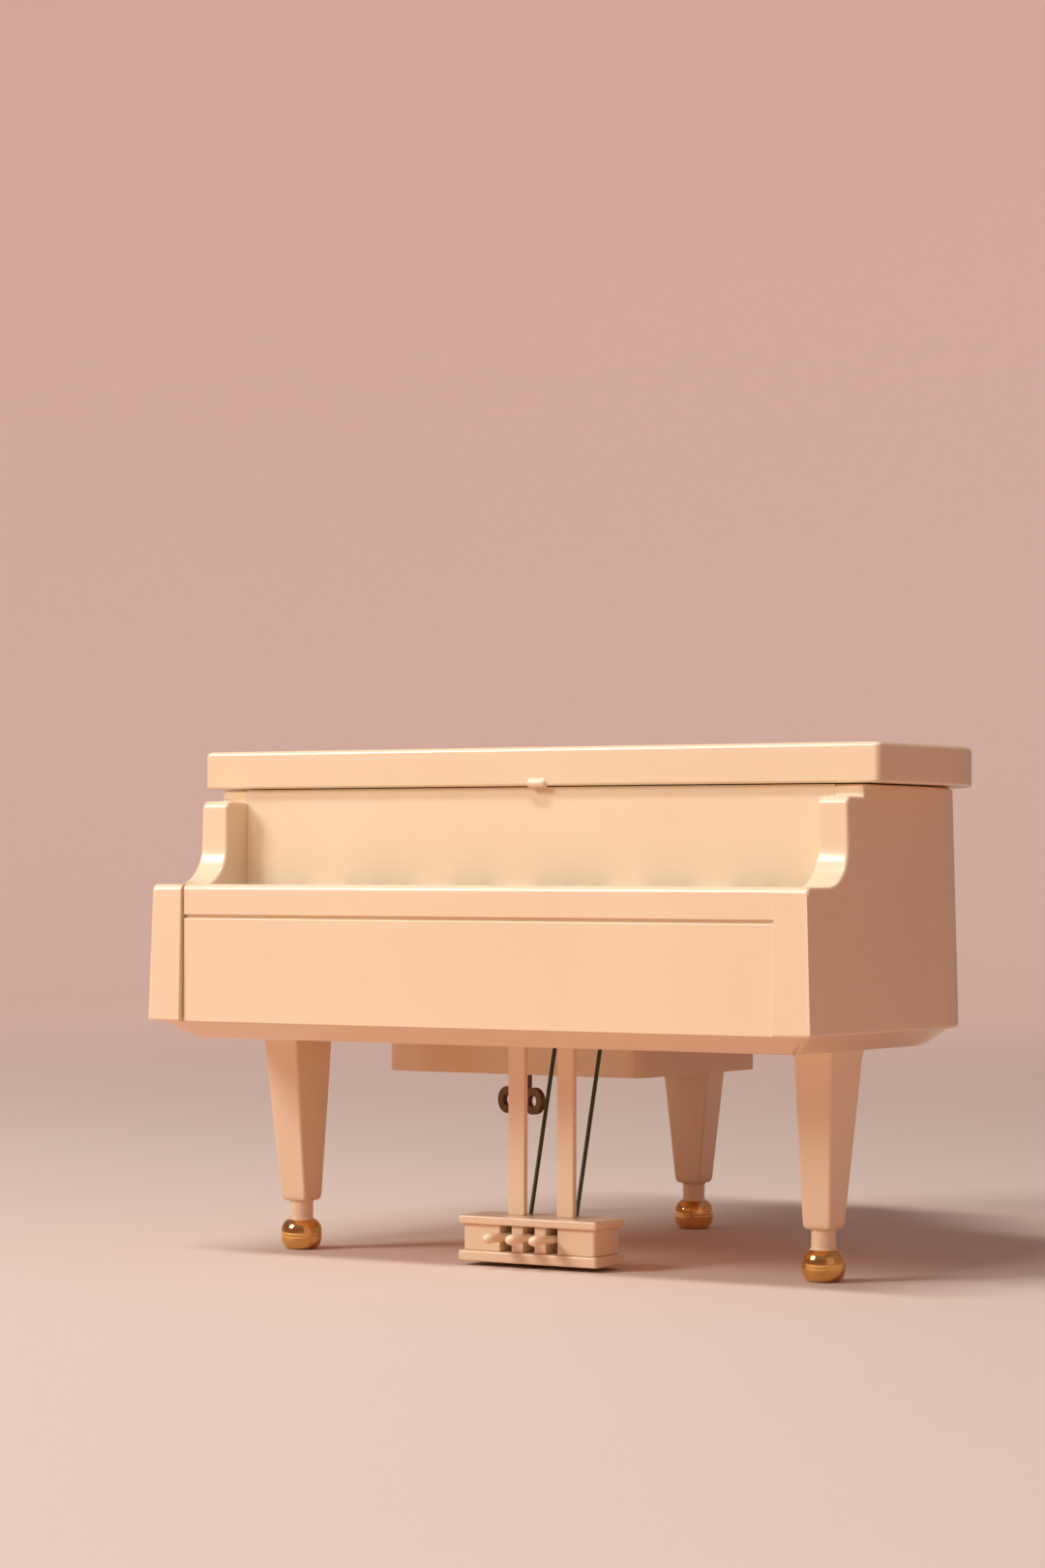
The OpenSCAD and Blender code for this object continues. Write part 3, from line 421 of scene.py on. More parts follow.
def ivory_plastic(name, tone, gloss=0.3, coat=0.5):
    """Injection-moulded ivory plastic: faint flow clouding, orange peel, rubs and hairlines."""
    f = Finish(name, IOR=1.49, Coat_Roughness=0.12, Subsurface_Weight=0.06,
               Subsurface_Scale=0.0012, Subsurface_Radius=(1.0, 0.6, 0.35))
    cloud = f.noise(26.0, 3.0, 0.55, warp=0.4)
    flow = f.noise(90.0, 4.0, 0.6, (1.0, 1.0, 0.35))
    deep = tuple(c * k for c, k in zip(tone[:3], (0.93, 0.87, 0.76))) + (1.0,)
    pale = tuple(min(1.0, c * k) for c, k in zip(tone[:3], (1.03, 1.04, 1.06))) + (1.0,)
    base = f.mix(0.35 + 0.65 * cloud.ramp(0.35, 0.7), pale, tone)
    base = f.mix(flow.ramp(0.45, 0.8) * 0.08, base, deep)
    specks = f.cells(420.0).ramp(0.0, 0.06, 1.0, 0.0) * f.noise(60.0).ramp(0.58, 0.66)
    base = f.mix(specks * 0.16, base, rgb(150, 112, 74))
    hair = f.noise(300.0, 2.0, 0.5, (0.25, 4.0, 4.0)).ramp(0.62, 0.7)
    rub = f.noise(45.0, 4.0, 0.65).ramp(0.45, 0.75)
    peel = f.noise(520.0, 2.0, 0.5)
    f.set(Base_Color=base, Roughness=gloss + 0.03 * rub + 0.02 * hair,
          Coat_Weight=coat * (1.0 - 0.12 * rub),
          Normal=f.bump(peel * 0.3 + hair * 0.04 + flow * 0.3, 0.015, 0.3))
    return f.mat


def gilt_plate(name):
    """Bright gilt plating on a ball foot: turned lines, thin dull patches and dark specks."""
    f = Finish(name, Metallic=1.0)
    lines = f.noise(40.0, 3.0, 0.6, (1.0, 1.0, 60.0))
    dull = f.noise(230.0, 4.0, 0.6).ramp(0.42, 0.72)
    pits = f.cells(900.0).ramp(0.0, 0.12, 1.0, 0.0) * f.noise(300.0).ramp(0.5, 0.6)
    col = f.mix(dull, rgb(242, 190, 116), rgb(204, 146, 82))
    col = f.mix(pits * 0.7, col, rgb(92, 58, 28))
    f.set(Base_Color=col, Roughness=0.07 + 0.12 * dull + 0.04 * lines + 0.2 * pits,
          Normal=f.bump(lines * 0.4 + dull * 0.4 - pits, 0.02, 0.6))
    return f.mat


def worked_brass(name, tone=(206, 166, 92), rough=0.26, stretch=(60.0, 2.0, 2.0)):
    """Machined brass: tool lines one way, faint tarnish."""
    f = Finish(name, Metallic=1.0)
    lines = f.noise(30.0, 3.0, 0.6, stretch)
    tarnish = f.noise(140.0, 4.0, 0.6).ramp(0.45, 0.8)
    dark = tuple(int(c * k) for c, k in zip(tone, (0.72, 0.62, 0.5)))
    f.set(Base_Color=f.mix(tarnish * 0.8, rgb(*tone), rgb(*dark)),
          Roughness=rough + 0.12 * lines + 0.15 * tarnish,
          Normal=f.bump(lines, 0.01, 0.5))
    return f.mat


def worked_steel(name, tone, rough, black=0.0):
    """Steel with fine grinding lines; a blackened one keeps bright rubs at random."""
    f = Finish(name, Metallic=1.0)
    lines = f.noise(36.0, 3.0, 0.6, (3.0, 50.0, 3.0))
    rub = f.noise(190.0, 4.0, 0.65).ramp(0.5, 0.75)
    worn = rgb(*tuple(min(255, int(c + 60 + 40 * black)) for c in tone))
    f.set(Base_Color=f.mix(rub * (0.25 + 0.5 * black), rgb(*tone), worn),
          Roughness=rough + 0.1 * lines + 0.1 * rub,
          Normal=f.bump(lines * 0.6 + rub * 0.4, 0.012, 0.5))
    return f.mat


def key_finish(name, tone, rough):
    """Glossy moulded key tops with finger rubs."""
    f = Finish(name, IOR=1.5, Coat_Roughness=0.08)
    rub = f.noise(160.0, 4.0, 0.6).ramp(0.45, 0.75)
    grain = f.noise(700.0, 2.0, 0.5, (1.0, 0.1, 1.0))
    worn = tuple(min(255, int(c * 0.93 + 8)) for c in tone)
    f.set(Base_Color=f.mix(rub * 0.6, rgb(*tone), rgb(*worn)), Coat_Weight=0.4 - 0.25 * rub,
          Roughness=rough + 0.14 * rub, Normal=f.bump(grain * 0.6 + rub * 0.4, 0.01, 0.4))
    return f.mat


def velvet_flock(name, tone):
    """Flocked velvet: short pile that lies in brushed patches and shines at grazing angles."""
    f = Finish(name, Sheen_Weight=0.8, Sheen_Roughness=0.35,
               Sheen_Tint=rgb(*[min(255, c + 70) for c in tone]), Specular_IOR_Level=0.15)
    pile = f.noise(2600.0, 2.0, 0.7)
    brushed = f.noise(70.0, 4.0, 0.55, (1.0, 2.2, 1.0), 0.8).ramp(0.35, 0.7)
    dark = rgb(*[int(c * 0.86) for c in tone])
    light = rgb(*[min(255, int(c * 1.1)) for c in tone])
    base = f.mix(brushed, dark, light)
    base = f.mix(pile.ramp(0.3, 0.7) * 0.45, base, dark)
    f.set(Base_Color=base, Roughness=0.78 + 0.18 * brushed,
          Normal=f.bump(pile + brushed * 0.5, 0.12, 0.7))
    return f.mat


def woven_satin(name, tone):
    """Satin: long warp floats with a soft lengthwise sheen."""
    f = Finish(name, Sheen_Weight=0.5, Sheen_Roughness=0.25)
    warp = (f.axis("X") * 9000.0).sine()
    weft = (f.axis("Y") * 7000.0).sine()
    slub = f.noise(90.0, 3.0, 0.6, (0.3, 6.0, 6.0))
    deep = rgb(*[int(c * 0.78) for c in tone])
    f.set(Base_Color=f.mix(slub.ramp(0.35, 0.7) * 0.6, rgb(*tone), deep),
          Roughness=0.34 + 0.12 * slub,
          Normal=f.bump(warp * 0.6 + weft * 0.3 + slub, 0.03, 0.5))
    return f.mat


def silvered_glass(name):
    """Small mirror: bright back, a trace of haze and dust."""
    f = Finish(name, Metallic=1.0)
    haze = f.noise(50.0, 4.0, 0.6).ramp(0.5, 0.8)
    dust = f.cells(800.0).ramp(0.0, 0.05, 1.0, 0.0)
    f.set(Base_Color=f.mix(haze * 0.2, rgb(238, 242, 244), rgb(214, 218, 220)),
          Roughness=0.02 + 0.05 * haze + 0.2 * dust)
    return f.mat


def doll_plastic(name, tone, rough=0.42):
    """Soft doll plastic with a faint blush."""
    f = Finish(name, Subsurface_Weight=0.12, Subsurface_Scale=0.0006,
               Subsurface_Radius=(1.0, 0.4, 0.25))
    blush = f.noise(260.0, 3.0, 0.5).ramp(0.4, 0.75)
    warm = rgb(min(255, tone[0] + 4), int(tone[1] * 0.93), int(tone[2] * 0.9))
    f.set(Base_Color=f.mix(blush * 0.7, rgb(*tone), warm), Roughness=rough + 0.1 * blush,
          Normal=f.bump(f.noise(1800.0), 0.01, 0.4))
    return f.mat


def tulle_net(name, tone):
    """Stiff net: rows of fine holes between pleats, with a light shimmer and painted shade that
    darkens the colour in a wave following the pleats.
    """
    f = Finish(name, Sheen_Weight=0.6, Sheen_Roughness=0.3, Transmission_Weight=0.0)
    u = f.node("ShaderNodeUVMap", {"uv_map": "cloth"}, {}, 0)
    cu = f.node("ShaderNodeSeparateXYZ", {}, {"Vector": u}, "X")
    cv = f.node("ShaderNodeSeparateXYZ", {}, {"Vector": u}, "Y")
    hole = (cu * 900.0).sine().size() * (cv * 150.0).sine().size()
    # painted shade: the net's colour darkens in a wave with the pleats' count round the waist,
    # standing in for shade in the folds; the same wave also varies the roughness
    pleat_shade_and_gloss = (cu * 150.8).sine()
    f.set(Base_Color=f.mix(pleat_shade_and_gloss.ramp(-1.0, 1.0) * 0.5, rgb(*tone),
                           rgb(*[int(c * 0.86) for c in tone])),
          Roughness=0.62 + 0.1 * pleat_shade_and_gloss, Alpha=1.0 - hole.ramp(0.55, 0.8, 0.0, 0.45),
          Normal=f.bump(hole, 0.03, 0.5))
    return f.mat


def lacquer(name, tone, rough=0.3):
    """Brushed dark lacquer on thin wire."""
    f = Finish(name, IOR=1.5, Coat_Roughness=0.1)
    streak = f.noise(200.0, 3.0, 0.6, (6.0, 6.0, 0.4))
    worn = rgb(*[min(255, c + 46) for c in tone])
    f.set(Base_Color=f.mix(streak.ramp(0.55, 0.75) * 0.5, rgb(*tone), worn),
          Roughness=rough + 0.15 * streak, Coat_Weight=0.3 - 0.1 * streak,
          Normal=f.bump(streak, 0.015, 0.5))
    return f.mat


MATERIALS = {}


def dress(obj, mat):
    """Gives a piece its finish."""
    obj.data.materials.clear()
    obj.data.materials.append(mat)
    return obj


def finish_for(key):
    """Each finish is made once and shared."""
    c = bpy.context.scene.piano_colours
    tone = tuple(c.ivory) + (1.0,)
    makers = {
        "ivory": lambda: ivory_plastic("ivory plastic", tone),
        "ivory_lid": lambda: ivory_plastic("ivory plastic, lid", tone, 0.24),
        "ivory_fascia": lambda: ivory_plastic("ivory plastic, fascia", tone, 0.5, coat=0.05),
        "key_white": lambda: key_finish("white key", (240, 232, 214), 0.22),
        "key_black": lambda: key_finish("black key", (20, 19, 20), 0.25),
        "velvet": lambda: velvet_flock("velvet flock", (132, 20, 36)),
        "satin": lambda: woven_satin("cushion satin", (224, 150, 158)),
        "mirror": lambda: silvered_glass("mirror glass"),
        "gilt": lambda: gilt_plate("gilt plating"),
        "brass": lambda: worked_brass("movement brass"),
        "hinge": lambda: worked_brass("hinge brass", (198, 156, 84), 0.3, (2.0, 40.0, 2.0)),
        "steel": lambda: worked_steel("bright steel", (176, 178, 182), 0.24),
        "dark_steel": lambda: worked_steel("blackened steel", (58, 57, 58), 0.34, 1.0),
        "bronze": lambda: worked_brass("browned bronze", (124, 92, 62), 0.36, (8.0, 8.0, 50.0)),
        "dark_rod": lambda: lacquer("dark green lacquer", (54, 62, 34)),
        "doll": lambda: doll_plastic("doll plastic", (236, 196, 172)),
        "hair": lambda: lacquer("painted hair", (74, 44, 26), 0.4),
        "bodice": lambda: woven_satin("bodice satin", (236, 158, 176)),
        "shoe": lambda: woven_satin("shoe satin", (240, 170, 186)),
        "tulle": lambda: tulle_net("skirt net", (246, 196, 208)),
        "lip": lambda: doll_plastic("lip paint", (190, 84, 84), 0.35),
        "eye": lambda: lacquer("eye paint", (40, 30, 28), 0.3),
    }
    if key not in MATERIALS:
        MATERIALS[key] = makers[key]()
    return MATERIALS[key]


def keep_node(node, key):
    """A solid whose shape is right keeps its mesh and gets its finish."""
    obj = NODES[node]
    mat = finish_for(key)
    if obj.material_slots:
        for s in obj.material_slots:
            s.link = "OBJECT"
            s.material = mat
    else:
        obj.data.materials.append(mat)


# ---------------------------------------------------------------- settings


class PianoBoxSizes(bpy.types.PropertyGroup):
    edge: FloatProperty(
        name="Case edges", description="Rounding along the moulded edges, in millimetres",
        default=0.6, min=0.05, max=1.0)
    fine_edge: FloatProperty(
        name="Small edges", description="Rounding along the edges of small pieces, in millimetres",
        default=0.22, min=0.02, max=0.6)
    pleats: IntProperty(
        name="Skirt pleats", description="Number of pleats round the dancer's skirt",
        default=24, min=8, max=48)
    turns: FloatProperty(
        name="Spring turns", description="Turns in the dancer's spring", default=5.0, min=3, max=9)


class PianoBoxColours(bpy.types.PropertyGroup):
    ivory: FloatVectorProperty(
        name="Ivory", description="Colour of the moulded case", subtype="COLOR", size=3,
        min=0, max=1, default=rgb(247, 223, 187)[:3])
    floor: FloatVectorProperty(
        name="Floor", description="Colour of the floor and backdrop", subtype="COLOR", size=3,
        min=0, max=1, default=rgb(226, 208, 196)[:3])


# ---------------------------------------------------------------- pieces


class PIANO_OT_case(bpy.types.Operator):
    """Rounds the case, its tray, front panel, key slip, key bed and fascia"""

    bl_idname = "piano.case"
    bl_label = "Case"

    def execute(self, context):
        edge = context.scene.piano_sizes.edge
        fine = context.scene.piano_sizes.fine_edge

        def by_slip(x, y, z):
            return abs(abs(x) - BLOCK_X) < 0.8 and y < 6.5

        def by_fascia(x, y, z):
            return abs(abs(x) - CHEEK_X) < 1.2 and abs(y - FASCIA_Y) < 0.2 and z > 70

        def block_corner(x, y, z):
            """Squares the end blocks' small plan rounding, for the bevel to round it again."""
            if y < 0.7 and abs(z - LEDGE_Z) < 0.1:
                y = LEDGE_Y
                if abs(x) < CORNER_X:
                    return (x, y, z)
            if abs(x) > CORNER_X and y < CORNER_Y:
                out = BLOCK_OUT - SIDE_LEAN * (z - BLOCK_BOTTOM)
                return (math.copysign(out, x), y if z > BLOCK_BOTTOM + 0.2 else 0.0, z)
            return None

        rim = soften("case_rim", edge, 4, clamp=False, fine=(by_slip, 0.15),
                     crisp=by_fascia, square=block_corner)
        dress(rim, finish_for("ivory"))
        for node, width in (("base_tray", 0.45), ("front_panel", fine), ("key_slip", 0.12),
                            ("key_bed", fine)):
            dress(soften(node, width), finish_for("ivory"))
        dress(soften("fascia", 0.02), finish_for("ivory_fascia"))
        return {"FINISHED"}


class PIANO_OT_keyboard(bpy.types.Operator):
    """Rounds the white and black keys"""

    bl_idname = "piano.keyboard"
    bl_label = "Keyboard"

    def execute(self, context):
        dress(soften("white_keys", 0.1, 2), finish_for("key_white"))
        dress(soften("black_keys", 0.22, 2), finish_for("key_black"))
        return {"FINISHED"}


class PIANO_OT_lid(bpy.types.Operator):
    """Rounds the lid's small edges and finishes the mirror under it"""

    bl_idname = "piano.lid"
    bl_label = "Lid"

    def execute(self, context):
        dress(soften("lid", 0.1, 2, angle=50.0), finish_for("ivory_lid"))
        dress(soften("lid_mirror", 0.2), finish_for("mirror"))
        return {"FINISHED"}


class PIANO_OT_hinges(bpy.types.Operator):
    """Finishes the two small butt hinges"""

    bl_idname = "piano.hinges"
    bl_label = "Hinges"

    def execute(self, context):
        for node, key, slot_name in (("hinge_case_leaves", "hinge", "brass"),
                                     ("hinge_lid_leaves", "hinge", "brass"),
                                     ("hinge_pins", "steel", "steel")):
            dress(soften(node, 0.08, 2), finish_for(key))
        return {"FINISHED"}


def leg_surface(x, y, shift, turn):
    """Rounded rectangle carried up from neck to tray: its sides grow in a straight taper,
    its centre leans outwards, and its ends flare and round over; the neck is turned."""
    z0, z1 = NECK_TOP, TRAY_BOTTOM
    t = np.array([0.0, 0.004, 0.012, 0.022, 0.035, 0.1, 0.3, 0.5, 0.7, 0.86, 0.93, 0.955,
                  0.975, 0.99, 1.0])
    grow = np.array([-1.1, -0.62, -0.28, -0.08, 0, 0, 0, 0, 0, -0.06, -0.1, 0.0, 0.22, 0.4,
                     0.42])
    rings = []
    for a, g in zip(t, grow):
        sx, sy = 5.7 + 2.1 * a + g, 5.7 + 6.9 * a + g
        rings.append(raise_to(rounded_box_ring(shift * a, 0, sx, sy, 0.55), z0 + (z1 - z0) * a))
    body = np.stack(rings)
    neck = revolve([(NECK_D / 2 + 0.35, BALL_HEIGHT), (NECK_D / 2 + 0.1, BALL_HEIGHT + 0.2),
                    (NECK_D / 2, BALL_HEIGHT + 0.5), (NECK_D / 2, NECK_TOP - 0.5),
                    (NECK_D / 2 + 0.1, NECK_TOP - 0.15), (NECK_D / 2 + 0.35, NECK_TOP + 0.05)],
                   0, 0, 48)
    out = []
    c, s = math.cos(math.radians(turn)), math.sin(math.radians(turn))
    for g in (body, neck):
        g = g.copy()
        g[..., 0], g[..., 1] = x + c * g[..., 0] - s * g[..., 1], y + s * g[..., 0] + c * g[..., 1]
        out.append(g)
    return out


def ball_profile(n=40):
    """Super-ellipse from flat to flat, with a hairline seam round its middle."""
    z = np.linspace(-1, 1, n)
    r = BALL_D / 2 * (1 - np.abs(z / 1.245) ** 2.4) ** (1 / 2.4)
    r -= 0.05 * np.exp(-((z / 0.03) ** 2))
    flat = BALL_HEIGHT / 2
    pts = [(0.001, 0.0), (r[0] - 0.25, 0.0), (r[0] - 0.07, 0.05)]
    pts += list(zip(r[1:-1], flat + z[1:-1] * flat))
    pts += [(r[-1] - 0.07, BALL_HEIGHT - 0.05), (r[-1] - 0.25, BALL_HEIGHT), (0.001, BALL_HEIGHT)]
    return pts


class PIANO_OT_legs(bpy.types.Operator):
    """Builds the three tapered legs with their turned necks and the gilt balls"""

    bl_idname = "piano.legs"
    bl_label = "Legs and feet"

    def execute(self, context):
        for name, (x, y, shift, turn) in LEGS.items():
            body, neck = leg_surface(x, y, shift, turn)
            leg = sheet_mesh("leg_" + name + "_piece", [body, neck], [(False, True)] * 2,
                             caps=[(0, 0), (0, -1), (1, 0), (1, -1)])
            link(leg)
            weighted(leg)
            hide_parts("leg_" + name)
            dress(leg, finish_for("ivory"))
            ball = sheet_mesh("foot_" + name + "_piece", [revolve(ball_profile(), x, y, 72)],
                              [(False, True)], caps=[(0, 0), (0, -1)])
            link(ball)
            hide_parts("foot_" + name)
            dress(ball, finish_for("gilt"))
        return {"FINISHED"}


class PIANO_OT_lyre(bpy.types.Operator):
    """Rounds the pedal lyre, its posts, stay rods and three pedals"""

    bl_idname = "piano.lyre"
    bl_label = "Pedal lyre"

    def execute(self, context):
        fine = context.scene.piano_sizes.fine_edge
        for node, width in (("lyre_foot", 0.35), ("lyre_box", fine), ("lyre_cap", 0.35),
                            ("lyre_posts", fine)):
            dress(soften(node, width), finish_for("ivory"))
        dress(soften("lyre_rods", 0.05, 1), finish_for("dark_rod"))
        grids = []
        for i in (-1, 0, 1):
            y = np.linspace(0, 1, 26)
            path = np.column_stack([np.full(26, LYRE_X + i * 5.0), 15.9 + y * 10.2,
                                    5.6 + 0.12 * np.cos(y * 3.0)])
            wide = 0.9 + 0.32 * np.exp(-((y / 0.32) ** 2))
            grids.append(tube(path, wide, 20, 0.82, (1.0, 0.0, 0.0)))
        bars = sheet_mesh("pedals_piece", grids, [(False, True)] * 3)
        link(bars)
        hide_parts("pedals")
        dress(bars, finish_for("ivory"))
        return {"FINISHED"}


class PIANO_OT_housing(bpy.types.Operator):
    """Rounds the movement housing, its screws and the wind-up key"""

    bl_idname = "piano.housing"
    bl_label = "Housing and key"

    def execute(self, context):
        dress(soften("movement_housing", 0.5), finish_for("ivory"))
        dress(soften("housing_screws", 0.15, 2), finish_for("steel"))
        dress(soften("winding_key", 0.25), finish_for("bronze"))
        dress(soften("winding_arbor", 0.15, 2), finish_for("steel"))
        return {"FINISHED"}


class PIANO_OT_movement(bpy.types.Operator):
    """Gives the comb movement its brass and steel"""

    bl_idname = "piano.movement"
    bl_label = "Movement"

    def execute(self, context):
        for node in ("bedplate", "spring_barrel", "pinned_drum", "comb_block",
                     "bearing_brackets", "idle_wheel", "governor_cock"):
            keep_node(node, "brass")
        for node in ("cylinder_pins", "comb", "comb_screws"):
            keep_node(node, "steel")
        keep_node("governor", "dark_steel")
        return {"FINISHED"}


def cushion_roll(x0, x1, yc, width, z0, height, seed, n=90, m=40):
    """A stuffed roll: super-ellipse section, crowned along its length and pinched at the ends,
    with shallow gathers that fade away from the end seams."""
    s = np.linspace(0, 1, n)
    t = np.linspace(0, 2 * np.pi, m, endpoint=False)
    end = (1 - np.abs(2 * s - 1) ** 7.0) ** 0.34
    end = np.clip(end, 0.02, 1)
    ct, st = np.cos(t), np.sin(t)
    sy = np.sign(ct) * np.abs(ct) ** 0.8
    sz = np.sign(st) * np.abs(st) ** 0.8
    near = np.exp(-np.minimum(s, 1 - s) / 0.05)
    gather = 1 - 0.06 * near[:, None] * (1 + np.sin(9 * t[None] + seed))
    crown = 1 + 0.015 * np.sin(2 * np.pi * (2.3 * s + seed))
    ry = width / 2 * (end * crown)[:, None] * gather
    rz = height / 2 * (end * crown)[:, None] * gather
    zc = z0 + height / 2
    return np.stack([np.repeat((x0 + (x1 - x0) * s)[:, None], m, 1),
                     yc + ry * sy, np.maximum(zc + rz * sz, z0)], 2)


class PIANO_OT_lining(bpy.types.Operator):
    """Flocks the jewellery tray and stuffs the ring cushion"""

    bl_idname = "piano.lining"
    bl_label = "Lining"

    def execute(self, context):
        dress(soften("jewellery_tray", 0.5), finish_for("velvet"))
        lo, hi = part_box("ring_cushion")
        x0, x1 = lo.x / MM, hi.x / MM
        y0, y1 = lo.y / MM + MID_Y, hi.y / MM + MID_Y
        z0, z1 = lo.z / MM, hi.z / MM
        w = (y1 - y0) / 4
        rolls = [cushion_roll(x0, x1, y0 + w * (i + 0.5), w * 1.02, z0, z1 - z0, 1.7 * i)
                 for i in range(4)]
        pad = sheet_mesh("ring_cushion_piece", rolls, [(False, True)] * 4,
                         caps=[(k, r) for k in range(4) for r in (0, -1)])
        link(pad)
        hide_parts("ring_cushion")
        dress(pad, finish_for("satin"))
        return {"FINISHED"}


def torso_surface(cx, cy, z0):
    """Stacked ovals from hip to neck: half widths and depths run on smooth curves."""
    keys = np.array([
        (11.6, 0.95, 0.80, 0.0), (12.6, 1.62, 1.22, 0.0), (13.6, 1.78, 1.30, 0.05),
        (15.2, 1.36, 1.02, 0.0), (16.4, 1.18, 0.92, -0.02), (17.8, 1.42, 1.08, -0.08),
        (18.9, 1.62, 1.14, -0.1), (19.7, 1.58, 0.98, 0.0), (20.1, 1.10, 0.72, 0.06),
        (20.5, 0.62, 0.56, 0.06), (21.4, 0.50, 0.48, 0.02), (22.0, 0.5, 0.48, 0.0)])
    k = smooth_path(keys, 60)
    t = np.linspace(0, 2 * np.pi, 36, endpoint=False)
    return np.stack([cx + k[:, 1:2] * np.cos(t), cy + k[:, 3:4] + k[:, 2:3] * np.sin(t),
                     np.repeat(z0 + k[:, 0:1], 36, 1)], 2)


def head_surface(cx, cy, cz):
    """Egg-shaped head facing -Y: an ellipsoid narrowed to the chin, with a small nose,
    shallow eye hollows and lips raised as smooth bumps of its radius."""
    a = np.linspace(-np.pi / 2, np.pi / 2, 49)[:, None]
    t = np.linspace(0, 2 * np.pi, 72, endpoint=False)[None]
    front = np.cos(t + np.pi / 2)
    side = np.sin(t + np.pi / 2)
    chin = 1 - 0.22 * np.clip(-np.sin(a), 0, 1) ** 1.4

    def bump(az, el, wa, we, size):
        d = np.angle(np.exp(1j * (t + np.pi / 2 - az)))
        return size * np.exp(-((d / wa) ** 2) - (((a - el) / we) ** 2))

    r = (1 + bump(0, -0.12, 0.11, 0.16, 0.10) + bump(0, -0.40, 0.2, 0.07, 0.035)
         - bump(0.42, 0.1, 0.17, 0.11, 0.035) - bump(-0.42, 0.1, 0.17, 0.11, 0.035)
         + bump(0, -0.86, 0.3, 0.2, 0.03))
    x = cx + 1.38 * chin * r * np.cos(a) * side
    y = cy - 1.62 * chin * r * np.cos(a) * front
    z = cz + 1.86 * r * np.sin(a) + 0 * t
    return np.stack([x, y + 0 * a, z], 2)


def skirt_surface(cx, cy, z0, r0, r1, drop, pleats, lift, phase):
    """Pleated disc: height falls with the radius and waves with a growing amplitude."""
    s = np.linspace(0, 1, 26)[:, None]
    t = np.linspace(0, 2 * np.pi, pleats * 12, endpoint=False)[None]
    r = r0 + (r1 - r0) * s * (1 + 0.012 * np.sin(5 * t + phase))
    z = z0 - drop * s ** 1.6 + lift * s * np.sin(pleats * t + phase) \
        + 0.1 * s * np.sin(3 * t + phase)
    return np.stack([cx + r * np.cos(t), cy + r * np.sin(t), z + 0 * t], 2)


